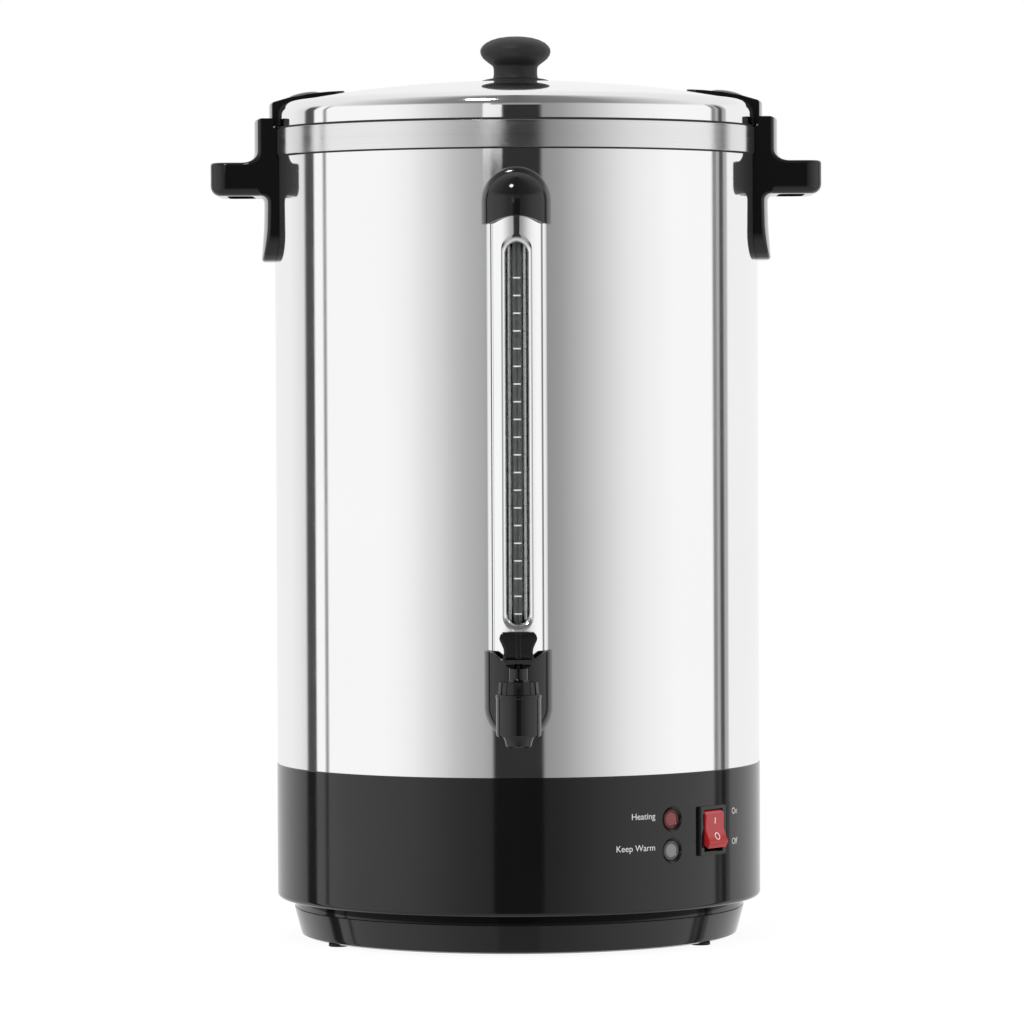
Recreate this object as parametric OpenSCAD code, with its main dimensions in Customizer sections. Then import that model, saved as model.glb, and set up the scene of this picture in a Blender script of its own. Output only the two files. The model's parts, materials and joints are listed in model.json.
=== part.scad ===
// Hot water urn: a polished tank on a black base, with a locking lid, side handles,
// a level gauge and a lever tap. Millimetres. The origin is on the standing surface
// under the tank's axis, +Z is up and the tap faces -Y. A front distance is measured
// from the tank's axis towards -Y.

/* [Tank] */
// Outer radius of the tank barrel
tank_r = 150; // [140:1:170]
// Sheet thickness of the barrel
tank_wall = 0.8; // [0.6:0.1:1.2]
// Height of the barrel above the base
tank_h = 391.3; // [340:0.1:460]
// Underside of the tank floor above the barrel's lower edge
floor_lift = 14; // [12:0.5:18]
// Thickness of the tank floor
floor_t = 1.2; // [0.8:0.1:2]
// Height of the band round the rim
band_h = 16.3; // [10:0.1:20]
// Thickness of the rim band
band_t = 1.2; // [0.8:0.1:2]
// Width of the rim's inward shelf
shelf_w = 7; // [5:0.5:10]

/* [Base] */
// Height of the base skirt
skirt_h = 83.5; // [74:0.5:100]
// How far the skirt stands proud of the tank
skirt_lip = 0.4; // [0.2:0.1:1.5]
// Wall of the skirt and the plinth
base_wall = 2.5; // [2:0.1:3.5]
// Radius of the skirt's lower edge
skirt_edge_r = 3.5; // [3:0.5:10]
// Height of the plinth without its feet
plinth_h = 23.5; // [20:0.5:32]
// Step from the skirt in to the plinth
plinth_step = 10.4; // [9:0.1:16]
// How much narrower the plinth is at its bottom
plinth_taper = 4; // [1:0.1:6]
// Radius of a rubber foot
foot_r = 6; // [5:0.5:8]
// Height of a rubber foot below the plinth
foot_h = 2; // [1.5:0.1:4]

/* [Lid] */
// Radius of the lid's dome
dome_r = 800; // [500:10:1200]
// Radius of the lid's rounded edge
lid_edge_r = 9; // [6:0.5:12]
// Sheet thickness of the lid
lid_wall = 0.8; // [0.6:0.1:1.2]
// Straight height of the lid's skirt
lid_skirt_h = 7; // [5:0.1:10]
// Gap from the tank's radius in to the lid's skirt
lid_inset = 0.5; // [0.2:0.1:1.5]
// Thickness of the gasket under the lid
gasket_t = 1.3; // [1:0.1:2.5]
// Radius of the knob's head
knob_r = 21.9; // [18:0.1:26]
// Height of the knob above the lid
knob_h = 28.2; // [26:0.1:36]
// Radius of the knob's stem
knob_stem_r = 13.8; // [10:0.1:16]

/* [Lid lugs] */
// Width of a lug
lug_w = 60; // [50:1:70]
// Thickness of a lug's arm
lug_t = 3; // [1.8:0.1:3.5]
// How far a lug reaches in from the tank's radius
lug_reach = 42; // [30:1:44]
// Gap from the tank's radius out to a lug's tab
tab_gap = 1; // [0.6:0.1:1.4]
// Thickness of a lug's tab
tab_t = 2.2; // [2:0.1:5]
// Radius of the round cap on a lug
cap_r = 10; // [8:0.5:12]
// How far the lid turns to lock, in degrees
lock_turn = 9; // [6:0.5:9]

/* [Handles] */
// Width of a handle
handle_w = 70; // [60:1:80]
// Height of a handle's bracket
handle_h = 89; // [80:1:110]
// Thickness of the bracket's lower part
plate_t = 6.5; // [6:0.1:10]
// Thickness of the bracket's upper part
head_t = 12.4; // [12:0.1:18]
// How far the grip stands out from the tank
grip_out = 38.6; // [36:0.1:48]
// Height of the grip
grip_h = 20.5; // [18:0.5:28]
// Thickness of the grip's bar and arms
grip_t = 9.5; // [8:0.5:11]
// Top of the handle above the rim
handle_rise = 7.7; // [7:0.1:9]

/* [Gauge] */
// Outer radius of the gauge cover
cover_r = 18; // [16:0.5:20]
// Sheet thickness of the gauge cover
cover_wall = 1; // [0.8:0.1:1.5]
// Width of the cover's window
window_w = 17.3; // [14:0.1:20]
// Outer radius of the glass tube
tube_r = 5.75; // [5:0.05:6.5]
// Wall of the glass tube
tube_wall = 1.5; // [1:0.1:2]
// Tube axis in front of the tank
tube_stand = 10; // [9:0.1:11]
// Wall of the gauge hood
hood_wall = 2.5; // [2:0.1:3]
// Wall of the gauge housing
housing_wall = 2; // [1.6:0.1:2.6]
// Front of the housing, in front of the tank
housing_depth = 28; // [26:0.5:32]
// Top of the hood below the rim
hood_drop = 28.3; // [22:0.1:40]

/* [Tap] */
// Height of the tap's shank above the base
shank_up = 38; // [36:0.5:46]
// Radius of the shank
shank_r = 8; // [7:0.1:9]
// Radius of the shank's bore
shank_bore_r = 4.5; // [3.5:0.1:5]
// Radius of the tap's barrel
barrel_r = 13.35; // [12.5:0.05:15]
// Height of the tap's barrel
barrel_h = 24.7; // [23:0.1:30]
// Length of the spout below the barrel
spout_l = 6.4; // [5:0.1:12]
// Radius of the spout's bore
spout_bore_r = 5; // [4:0.1:5.5]
// Height of the ribbed bonnet
bonnet_h = 7.6; // [7:0.1:10]
// Height of the bonnet's neck
neck_h = 8; // [7:0.1:11]
// Radius of the valve stem
stem_r = 2.5; // [2.2:0.1:3]
// Height of the lever above the neck
lever_h = 21.4; // [19:0.1:26]
// Width of the lever
lever_w = 23; // [20:0.5:27]
// Travel of the valve cup
valve_lift = 4; // [3:0.1:4]
// Turn of the lever for the full travel, in degrees
lever_turn = 60; // [50:1:65]

/* [Switch and lamps] */
// Width of the switch frame
switch_w = 25.5; // [24:0.5:28]
// Height of the switch frame
switch_h = 30; // [29:0.5:33]
// Turn of the rocker, in degrees
rocker_turn = 20; // [16:1:22]
// Radius of a lamp lens
lamp_r = 6; // [5:0.25:7]
// Distance between the two lamps
lamp_gap = 19; // [17.5:0.5:23]

/* [Cord gland] */
// Radius of the gland's bore
gland_bore_r = 4; // [3:0.1:4.5]
// Radius of the gland's thread
gland_thread_r = 6.5; // [6:0.1:8]

/* [Hidden] */
$fn = 180;
tank_fn = 360;
far = 500;

// Clearances: a seated fit, a part that turns or slides, a shaft in its bore, a screw hole
seat_gap = 0.2;
move_gap = 0.3;
run_gap = 0.05;
touch_gap = 0.05;
screw_gap = 0.2;

// Heights of the stack from the feet up to the lid
skirt_z = foot_h + plinth_h;
base_z = skirt_z + skirt_h;
floor_z = base_z + floor_lift;
tank_in_r = tank_r - tank_wall;
barrel_top = base_z + tank_h;
rim_z = barrel_top + band_t;
band_r = tank_r + band_t;
shelf_r = tank_r - shelf_w;
gasket_z = rim_z + gasket_t;
lid_z = gasket_z + touch_gap;
gasket_lip_h = 5;
gasket_lip_t = 1.5;

// Lid outline: the dome's centre follows from the skirt and the rounded edge
lid_r = tank_r - lid_inset;
edge_x = lid_r - lid_edge_r;
dome_z = lid_z + lid_skirt_h - sqrt(pow(dome_r - lid_edge_r, 2) - edge_x * edge_x);
lid_top = dome_z + dome_r;
dome_steps = 16;
edge_steps = 10;

// Knob
knob_base_r = knob_r - 0.5;
knob_base_h = 2.2;
knob_waist_h = 10.1;
knob_wide_h = 20;
knob_screw_r = 2.5;
knob_screw_depth = 12;
knob_washer_r = 10;
knob_washer_t = 1.2;

// Lugs and the recess that locks them
tab_r = tank_r + tab_gap;
lug_r = tab_r + tab_t;
lug_edge_r = 3;
lug_corner_r = 8;
tab_z = rim_z + 2;
lug_foot_t = 2;
lug_foot_w = 4.5;
lug_foot_start = 1.7;
lug_foot_end = 8.3;
lug_screw_x = tank_r - 19;
lug_screw_r = 2;
cap_h = 2.6;
cap_top_t = 1.2;
screw_end_gap = 0.5;

// Handles
handle_z = rim_z + handle_rise;
handle_foot = handle_z - handle_h;
head_h = 28.2;
plate_r = tank_r + plate_t;
head_r = tank_r + head_t;
grip_x = tank_r + grip_out;
grip_z = handle_z - head_h - grip_h;
grip_corner_r = 12;
gap_corner_r = 6;
gap_back = 2;
recess_z = rim_z + 0.7;
recess_r = lug_r + move_gap;
pocket_r = lug_r + lug_foot_w + 2;
ledge_z = tab_z + lug_foot_t + 0.7;
undercut_r = lug_r + lug_foot_w + 1;
pocket_from = lug_foot_start - 0.9;
pocket_to = lug_foot_end + 1.1;
undercut_to = lug_foot_start - lock_turn - 0.7;
handle_screw_r = 2.5;
handle_screw_grip = plate_t - 2;
handle_screw_low = 12;
handle_screw_high = 55;
handle_screw_heights = [handle_foot + handle_screw_low, handle_foot + handle_screw_high];
screw_head_r = 4.5;
screw_head_h = 3;
head_gap = 0.1;

// Tap and gauge heights, and their distances in front of the axis
shank_z = base_z + shank_up;
spout_top = shank_z - 10.3;
spout_z = spout_top - spout_l;
barrel_z = spout_top + barrel_h;
bonnet_z = barrel_z + bonnet_h;
neck_z = bonnet_z + neck_h;
housing_front = tank_r + housing_depth;
tap_q = housing_front + 0.65 + barrel_r;
tube_q = tank_r + tube_stand;
shank_in = tank_r - 16;
washer_t = 2.5;
shank_washer_r = 13;
collar_r = 10;
shank_nut_l = 7;
shank_nut_out = 5;
shell_back = tank_r - 12;

// Level gauge
shell_gap = 0.3;
cover_q = tank_r + 4;
hood_r = cover_r + shell_gap + hood_wall;
hood_z = rim_z - hood_drop;
hood_mid = hood_z - hood_r;
hood_skirt = 13.4;
hood_low = hood_mid - hood_skirt;
hood_arch = 4;
housing_r = cover_r + shell_gap + housing_wall;
housing_q = housing_front - housing_r;
housing_mid_rise = 5.3;
housing_top_rise = 38.7;
housing_mid = shank_z + housing_mid_rise;
housing_top = shank_z + housing_top_rise;
housing_scoop = 7.7;
cover_low = housing_top - housing_scoop;
cover_high = hood_low + 6.5;
window_low = cover_low + 19;
window_high = cover_high - 17;
lip_t = 0.8;
lip_back = tube_q + tube_r + 2 * move_gap;
tee_bore_r = tube_r - tube_wall;
tee_neck_r = tee_bore_r + 1.8;
tee_front = tube_q + tee_neck_r + seat_gap;
tee_r = shank_r + 2.4;
socket_low = shank_z + shank_washer_r + 0.5;
socket_z = socket_low + 2;
socket_top = socket_z + 12;
socket_r = tube_r + 1.75;
tube_low = socket_z + 0.5;
tube_high = hood_mid + 2.5;
seal_high_r = tube_stand - move_gap;
hood_screw_z = hood_mid + 10;
hood_post_r = 4.5;
hood_screw_r = 2;
hood_screw_grip = 11;
hood_post_back = 0.5;
hood_arch_in = 5;
housing_arch_in = 8;
seal_grip = 9;
seal_cap_t = 2.5;
vent_r = 1.5;

// Valve: seat, chamber, stem and lever cam
chamber_r = barrel_r - 4.35;
seat_z = spout_top + 4.3;
cup_h = 8;
cup_r = chamber_r - 1.5;
spigot_l = 4.4;
spigot_z = barrel_z - spigot_l;
spring_r = 5.5;
spring_wire = 0.4;
spring_turns = 3.5;
spring_low = seat_z + touch_gap + cup_h;
neck_r = 5.5;
spout_in = 4.85;
spout_taper = 1;
gauge_port_r = 2;
bonnet_ribs = 16;
rib_groove_r = 0.8;
bonnet_step = 0.5;
bonnet_chamfer = 1.5;
seat_land = 1.5;
cup_chamfer = 2;
cup_floor_t = 3;
pivot_up = 4.5;
pivot_z = neck_z + touch_gap + pivot_up;
eye_r = 3;
eye_t = 4;
flat_z = neck_z - valve_lift - 1;
pin_r = 1.25;
cam_k = valve_lift / (lever_turn * PI / 180);
cam_steps = 12;
lever_low_w = lever_w - 7.5;
lever_edge_r = 4;
lever_back = 4.5;
pin_set_back = 0.3;

// Base
skirt_r = tank_r + skirt_lip;
plinth_r = skirt_r - plinth_step;
plinth_low_r = plinth_r - plinth_taper;
spigot_r = tank_in_r - seat_gap;
spigot_wall = 2.2;
spigot_h = 6;
flange_in = plinth_low_r - 20;
foot_circle = plinth_low_r - 8;
foot_angles = [-30, -150, 90];
foot_stem_r = 2.5;
base_screw_circle = plinth_low_r - 11;
base_screw_angles = [30, 150, -90];
base_screw_r = 2;
boss_r = 5;
boss_h = 15;
boss_end_t = 3;
base_head_r = 3.5;
base_head_h = 3;
base_head_up = 3;
plinth_neck_in = 0.8;
plinth_neck_h = 5.7;
recess_draft = 0.5;
plinth_edge = 2;
foot_barb = 1;
foot_barb_h = 3;
stud_r = 3;
stud_end = 1.5;
recess_up = 8;
centre_recess_r = 18;
nut_h = 5;
nut_r = 5.8;
centre_washer_t = 1.5;
centre_washer_r = 9;

// Switch and lamps, by their angle round the axis and their height
switch_angle = -39.2;
lamp_angle = -52.1;
switch_rise = 47.3;
lamp_rise = 46.5;
switch_z = skirt_z + switch_rise;
lamp_mid_z = skirt_z + lamp_rise;
switch_front = skirt_r + 1.8;
frame_wall = 2;
switch_hole_w = switch_w - 2 * (frame_wall + move_gap);
switch_hole_h = switch_h - 2 * (frame_wall + move_gap);
switch_depth = 26;
rocker_w = switch_w - 7.5;
rocker_half = switch_h / 2 - 3.5;
rocker_reach = 5.1;
pivot_x = switch_front - 0.3 - rocker_reach;
trunnion_r = 1.5;
trunnion_l = 1.2;
lamp_recess_r = 9;
lamp_recess_depth = 1.6;
lamp_flange = 2;
lamp_flange_t = 1.5;
lamp_recess_lip = 1.4;
lamp_set_back = 0.6;
lens_gap = 0.3;
holder_l = 16;

// Heating parts under the tank floor
element_plate_t = 3;
element_plate_inset = 55;
element_plate_r = tank_r - element_plate_inset;
element_ring_inset = 15;
element_ring_r = element_plate_r - element_ring_inset;
element_r = 4.2;
element_gap_angle = 24;
element_z = floor_z - element_plate_t - element_r - touch_gap;
element_pin_l = 16;
element_pin_r = 3;
element_pin_in = 4;
clamp_t = 2;
clamp_w = 12;
clamp_z = element_z - element_r - touch_gap - clamp_t;
stat_h = 12;
stat_r = 10;
stat_z = floor_z - element_plate_t - stat_h;
stat_tab_l = 9;
stat_tab_w = 4.8;
stat_tab_t = 0.8;
stat_tab_root = 0.5;
stat_x = 40;
stat_y = 30;
cutout_y = -45;
cutout_r = 8;
block_place = [30, 75];
block_size = [36, 18, 15];
block_ways = 3;
block_bore_r = 3;
block_floor_t = 5;

// Gland at the rear of the skirt
gland_up = 34.5;
gland_z = skirt_z + gland_up;
gland_flange_r = 10;
gland_flange_t = 5;
gland_cap_l = 9;
gland_in = 14;
gland_nut_r = 10.5;
gland_bore_l = 40;
gland_nut_l = 4.5;

// Helpers
function arc(x, z, r, from, to, steps) =
    [for (i = [0 : steps]) let (a = from + (to - from) * i / steps) [x + r * cos(a), z + r * sin(a)]];

module ring(r_out, r_in, low, high) {
    translate([0, 0, low]) difference() {
        cylinder(r = r_out, h = high - low);
        translate([0, 0, -1]) cylinder(r = r_in, h = high - low + 2);
    }
}

// A round bar from one front distance to another
module forward(q_from, q_to, r, z) {
    translate([0, -q_from, z]) rotate([90, 0, 0]) cylinder(r = r, h = q_to - q_from);
}

// A round bar along +X
module outward(x_from, x_to, r, z, y = 0) {
    translate([x_from, y, z]) rotate([0, 90, 0]) cylinder(r = r, h = x_to - x_from);
}

module hex_nut(r, bore_r, low, high) {
    difference() {
        translate([0, 0, low]) cylinder(r = r, h = high - low, $fn = 6);
        translate([0, 0, low - 1]) cylinder(r = bore_r, h = high - low + 2);
    }
}

module sector_ring(r_out, r_in, low, high, from, to) {
    rotate([0, 0, from]) rotate_extrude(angle = to - from)
        translate([r_in, low]) square([r_out - r_in, high - low]);
}

module tank_space(r = tank_r) {
    cylinder(r = r, h = far + tank_h, $fn = tank_fn);
}

function dome_height(radius, x) = dome_z + sqrt(radius * radius - x * x);

// Half section of a dome with a rounded edge and a straight skirt
module domed_outline(radius, rim, edge, low) {
    x = rim - edge;
    z = dome_height(radius - edge, x);
    join = atan2(z - dome_z, x);
    step = (90 - join) / dome_steps;
    polygon(concat(
        [[0, low], [rim, low]],
        arc(x, z, edge, 0, join, edge_steps),
        arc(0, dome_z, radius, join + step, 90, dome_steps - 1)
    ));
}

// A child's own +Z becomes the lid's normal at the given distance from the axis,
// and its heights count from the dome's centre
module on_dome(x) {
    translate([0, 0, dome_z]) rotate([0, asin(x / dome_r), 0]) children();
}

// U-shaped outline of the gauge's shells, open towards the tank
module u_outline(r, q) {
    translate([0, -q]) circle(r = r);
    translate([-r, -q]) square([2 * r, q - shell_back]);
}

// A U-shaped column with a rounded end beyond z_mid
module shell_core(r, q, z_mid, z_end) {
    translate([0, 0, min(z_mid, z_end)]) linear_extrude(abs(z_end - z_mid)) u_outline(r, q);
    intersection() {
        union() {
            translate([0, -q, z_mid]) sphere(r = r);
            forward(shell_back, q, r, z_mid);
        }
        translate([-r, -q - r, z_mid - (z_end > z_mid ? r : 0)]) cube([2 * r, q + r, r]);
    }
}

module slot_outline(w, low, high) {
    translate([-w / 2, low + w / 2]) square([w, high - low - w]);
    translate([0, low + w / 2]) circle(d = w);
    translate([0, high - w / 2]) circle(d = w);
}

// Tank
module tank_barrel() {
    color("silver") difference() {
        ring(tank_r, tank_in_r, base_z, barrel_top, $fn = tank_fn);
        forward(shell_back, tank_r + 5, shank_r + screw_gap, shank_z);
        forward(shell_back, tank_r + 5, hood_screw_r + screw_gap, hood_screw_z);
        for (side = [0, 180], z = handle_screw_heights)
            rotate([0, 0, side]) outward(shell_back, tank_r + 5, handle_screw_r + screw_gap, z);
    }
}

module tank_floor() {
    color("gainsboro") {
        translate([0, 0, floor_z]) cylinder(r = tank_in_r, h = floor_t);
        ring(tank_in_r, tank_in_r - floor_t, floor_z - 5, floor_z);
    }
}

module rim_band() {
    color("lightgray") rotate_extrude() polygon([
        [tank_r, rim_z - band_h], [band_r, rim_z - band_h], [band_r, rim_z],
        [shelf_r, rim_z], [shelf_r, barrel_top], [tank_r, barrel_top]
    ]);
}

module centre_stud() {
    color("silver") translate([0, 0, foot_h + stud_end])
        cylinder(r = stud_r, h = floor_z - foot_h - stud_end);
}

module clamp_nut() {
    color("silver") hex_nut(nut_r, stud_r, clamp_z - nut_h, clamp_z);
}

module centre_washer() {
    top = foot_h + recess_up;
    color("silver") ring(centre_washer_r, stud_r + screw_gap, top - centre_washer_t, top);
}

module centre_nut() {
    top = foot_h + recess_up - centre_washer_t;
    color("silver") hex_nut(nut_r, stud_r, top - nut_h, top);
}

// Lid
module lid() {
    color("gainsboro") difference() {
        rotate_extrude() difference() {
            domed_outline(dome_r, lid_r, lid_edge_r, lid_z);
            domed_outline(dome_r - lid_wall, lid_r - lid_wall, lid_edge_r - lid_wall, lid_z - 1);
        }
        translate([0, 0, lid_z]) cylinder(r = knob_screw_r + screw_gap, h = far);
        for (x = [-lug_screw_x, lug_screw_x])
            on_dome(x) translate([0, 0, dome_r - 10]) cylinder(r = lug_screw_r + screw_gap, h = 20);
    }
}

module lid_gasket() {
    upstand_r = lid_r - lid_wall - move_gap;
    color("black") rotate_extrude() polygon([
        [shelf_r, rim_z], [lid_r, rim_z], [lid_r, gasket_z], [upstand_r, gasket_z],
        [upstand_r, gasket_z + gasket_lip_h], [upstand_r - gasket_lip_t, gasket_z + gasket_lip_h],
        [upstand_r - gasket_lip_t, gasket_z],
        [shelf_r, gasket_z]
    ]);
}

module knob_base() {
    seat = dome_r + touch_gap;
    color("dimgray") rotate_extrude() polygon([
        [knob_screw_r, dome_height(seat, knob_screw_r)], [knob_base_r / 2, dome_height(seat, knob_base_r / 2)],
        [knob_base_r, dome_height(seat, knob_base_r)], [knob_base_r, lid_top],
        [knob_stem_r, lid_top + knob_base_h], [knob_screw_r, lid_top + knob_base_h]
    ]);
}

module lid_knob() {
    low = lid_top + knob_base_h;
    wide = lid_top + knob_wide_h;
    crown = lid_top + knob_h;
    crown_r = ((crown - wide) * (crown - wide) + knob_r * knob_r) / (2 * (crown - wide));
    crown_angle = asin(knob_r / crown_r);
    color("dimgray") difference() {
        rotate_extrude() polygon(concat(
            [[0, low], [knob_stem_r, low], [knob_stem_r, lid_top + knob_waist_h], [knob_r, wide]],
            arc(0, crown - crown_r, crown_r, 90 - crown_angle, 90, 12)
        ));
        translate([0, 0, low - 1]) cylinder(r = knob_screw_r, h = knob_screw_depth + 1);
    }
}

module knob_washer() {
    seat = dome_height(dome_r - lid_wall - touch_gap, knob_washer_r);
    color("silver") ring(knob_washer_r, knob_screw_r + screw_gap, seat - knob_washer_t, seat);
}

module knob_screw() {
    head_top = dome_height(dome_r - lid_wall - touch_gap, knob_washer_r) - knob_washer_t;
    color("silver") {
        translate([0, 0, head_top - screw_head_h]) cylinder(r = screw_head_r, h = screw_head_h);
        translate([0, 0, head_top])
            cylinder(r = knob_screw_r, h = lid_top + knob_base_h + knob_screw_depth - 1 - head_top);
    }
}

// A lug on the lid's edge, made at +X. Its foot reaches out below the tab.
module lid_lug() {
    color("black") difference() {
        union() {
            intersection() {
                rotate_extrude() difference() {
                    domed_outline(dome_r + lug_t, lug_r, lug_edge_r, tab_z);
                    domed_outline(dome_r + touch_gap, lid_r + touch_gap, lid_edge_r + touch_gap, lid_z - 1);
                    translate([0, lid_z - 1]) square([tab_r, lid_skirt_h + 1]);
                }
                translate([0, 0, lid_z - 5]) linear_extrude(far) {
                    translate([tank_r - lug_reach + lug_corner_r, -lug_w / 2]) square([far, lug_w]);
                    translate([tank_r - lug_reach, lug_corner_r - lug_w / 2])
                        square([lug_corner_r + 1, lug_w - 2 * lug_corner_r]);
                    for (y = [-1, 1])
                        translate([tank_r - lug_reach + lug_corner_r, y * (lug_w / 2 - lug_corner_r)])
                            circle(r = lug_corner_r);
                }
            }
            sector_ring(lug_r + lug_foot_w, tab_r + 1, tab_z, tab_z + lug_foot_t, lug_foot_start, lug_foot_end);
        }
        on_dome(lug_screw_x) translate([0, 0, dome_r - 5]) cylinder(r = lug_screw_r + screw_gap, h = 20);
    }
}

module lid_lug_left() {
    rotate([0, 0, 180]) lid_lug();
}

module lid_lug_right() {
    lid_lug();
}

module lug_caps() {
    ball_r = (cap_r * cap_r + cap_h * cap_h) / (2 * cap_h);
    seat = dome_r + lug_t + touch_gap;
    color("black") for (x = [-lug_screw_x, lug_screw_x]) on_dome(x) translate([0, 0, seat]) difference() {
        intersection() {
            translate([0, 0, cap_h - ball_r]) sphere(r = ball_r);
            cylinder(r = cap_r, h = cap_h);
        }
        translate([0, 0, -1]) cylinder(r = lug_screw_r, h = cap_h - cap_top_t + 1);
    }
}

module lug_screws() {
    head_top = dome_r - lid_wall - touch_gap;
    color("silver") for (x = [-lug_screw_x, lug_screw_x]) on_dome(x) {
        translate([0, 0, head_top - screw_head_h]) cylinder(r = screw_head_r, h = screw_head_h);
        translate([0, 0, head_top])
            cylinder(r = lug_screw_r, h = lid_wall + lug_t + cap_h - cap_top_t - screw_end_gap);
    }
}

// A side handle, made at +X: bracket, grip with its finger gap, and the recess for the lug
module handle() {
    color("black") difference() {
        union() {
            intersection() {
                union() {
                    ring(plate_r, tank_r, handle_foot, handle_z - head_h + 1);
                    ring(head_r, tank_r, handle_z - head_h, handle_z);
                }
                translate([0, -handle_w / 2, 0]) cube([far, handle_w, handle_z + 1]);
            }
            translate([0, 0, grip_z]) linear_extrude(grip_h) difference() {
                grip_outline();
                finger_gap();
                circle(r = tank_r);
            }
        }
        translate([0, 0, rim_z - band_h - 1]) cylinder(r = band_r + seat_gap, h = far);
        translate([0, 0, recess_z]) cylinder(r = recess_r, h = far);
        sector_ring(pocket_r, tank_r, recess_z, handle_z + 1, pocket_from, pocket_to);
        sector_ring(undercut_r, tank_r - 1, recess_z, ledge_z, undercut_to, (pocket_from + pocket_to) / 2);
        for (z = handle_screw_heights)
            outward(tank_r - 5, tank_r + handle_screw_grip + screw_end_gap, handle_screw_r, z);
    }
}

module grip_outline() {
    square_w = handle_w - 2 * grip_corner_r;
    translate([shell_back, -handle_w / 2]) square([grip_x - grip_corner_r - shell_back, handle_w]);
    translate([shell_back, -square_w / 2]) square([grip_x - shell_back, square_w]);
    for (y = [-1, 1])
        translate([grip_x - grip_corner_r, y * square_w / 2]) circle(r = grip_corner_r);
}

module finger_gap() {
    near = plate_r + gap_back;
    across = handle_w - 2 * grip_t;
    along = grip_x - grip_t - near;
    translate([near + gap_corner_r, -across / 2]) square([along - 2 * gap_corner_r, across]);
    translate([near, gap_corner_r - across / 2]) square([along, across - 2 * gap_corner_r]);
    for (x = [near + gap_corner_r, near + along - gap_corner_r], y = [-1, 1])
        translate([x, y * (across / 2 - gap_corner_r)]) circle(r = gap_corner_r);
}

module handle_right() {
    handle();
}

module handle_left() {
    rotate([0, 0, 180]) handle();
}

module handle_screws() {
    color("silver") for (side = [0, 180], z = handle_screw_heights) rotate([0, 0, side]) {
        outward(tank_in_r - screw_head_h - head_gap, tank_in_r - head_gap, screw_head_r, z);
        outward(tank_in_r - 1, tank_r + handle_screw_grip, handle_screw_r, z);
    }
}

// Level gauge
module gauge_cover() {
    color("gainsboro") difference() {
        union() {
            translate([0, 0, cover_low]) linear_extrude(cover_high - cover_low) difference() {
                u_outline(cover_r, cover_q);
                u_outline(cover_r - cover_wall, cover_q);
            }
            intersection() {
                translate([0, 0, cover_low]) linear_extrude(cover_high - cover_low) u_outline(cover_r, cover_q);
                translate([0, -lip_back, 0]) rotate([90, 0, 0]) linear_extrude(cover_r)
                    slot_outline(window_w + 2 * lip_t, window_low - lip_t, window_high + lip_t);
            }
        }
        translate([0, -cover_q, 0]) rotate([90, 0, 0]) linear_extrude(far)
            slot_outline(window_w, window_low, window_high);
        tank_space();
    }
}

module gauge_hood() {
    arch_r = (hood_r * hood_r + hood_arch * hood_arch) / (2 * hood_arch);
    color("black") difference() {
        union() {
            difference() {
                shell_core(hood_r, cover_q, hood_mid, hood_low);
                shell_core(hood_r - hood_wall, cover_q, hood_mid, hood_low - 1);
                forward(tank_r + hood_arch_in, far, arch_r, hood_low + hood_arch - arch_r);
            }
            intersection() {
                forward(shell_back, far, hood_post_r, hood_screw_z);
                shell_core(hood_r - hood_post_back, cover_q, hood_mid, hood_low);
            }
        }
        tank_space();
        forward(shell_back, tank_r + hood_screw_grip + screw_end_gap, hood_screw_r, hood_screw_z);
    }
}

module hood_screw() {
    color("silver") {
        forward(tank_in_r - screw_head_h - head_gap, tank_in_r - head_gap, screw_head_r, hood_screw_z);
        forward(tank_in_r - 1, tank_r + hood_screw_grip, hood_screw_r, hood_screw_z);
    }
}

module gauge_tube() {
    color("lightcyan", 0.4) translate([0, -tube_q, 0]) ring(tube_r, tube_r - tube_wall, tube_low, tube_high);
}

module tube_seal_upper() {
    color("darkgray") translate([0, -tube_q, 0]) difference() {
        translate([0, 0, tube_high - seal_grip]) cylinder(r = seal_high_r, h = seal_grip + seal_cap_t);
        translate([0, 0, tube_high - seal_grip - 1]) cylinder(r = tube_r, h = seal_grip + 1);
        translate([0, 0, tube_high - 1]) cylinder(r = vent_r, h = seal_cap_t + 2);
    }
}

module tube_seal_lower() {
    color("darkgray") translate([0, -tube_q, 0]) ring(socket_r, tube_r, socket_z + 1, socket_top);
}

module gauge_tee() {
    color("goldenrod") difference() {
        union() {
            forward(tank_r + washer_t, tee_front, tee_r, shank_z);
            translate([0, -tube_q, shank_z]) cylinder(r = tee_neck_r, h = socket_z - shank_z);
            translate([0, -tube_q, socket_low]) cylinder(r = socket_r + 2, h = socket_top - socket_low);
        }
        forward(tank_r, tee_front + 5, shank_r + screw_gap / 2, shank_z);
        translate([0, -tube_q, shank_z]) cylinder(r = tee_bore_r, h = far);
        translate([0, -tube_q, socket_z]) cylinder(r = socket_r, h = far);
    }
}

module gauge_housing() {
    scoop_r = (housing_r * housing_r + housing_scoop * housing_scoop) / (2 * housing_scoop);
    color("black") difference() {
        shell_core(housing_r, housing_q, housing_mid, housing_top);
        shell_core(housing_r - housing_wall, housing_q, housing_mid, housing_top + 1);
        tank_space();
        forward(tank_r + housing_arch_in, far, scoop_r, housing_top - housing_scoop + scoop_r);
        forward(housing_q, far, collar_r + move_gap, shank_z);
    }
}

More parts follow.
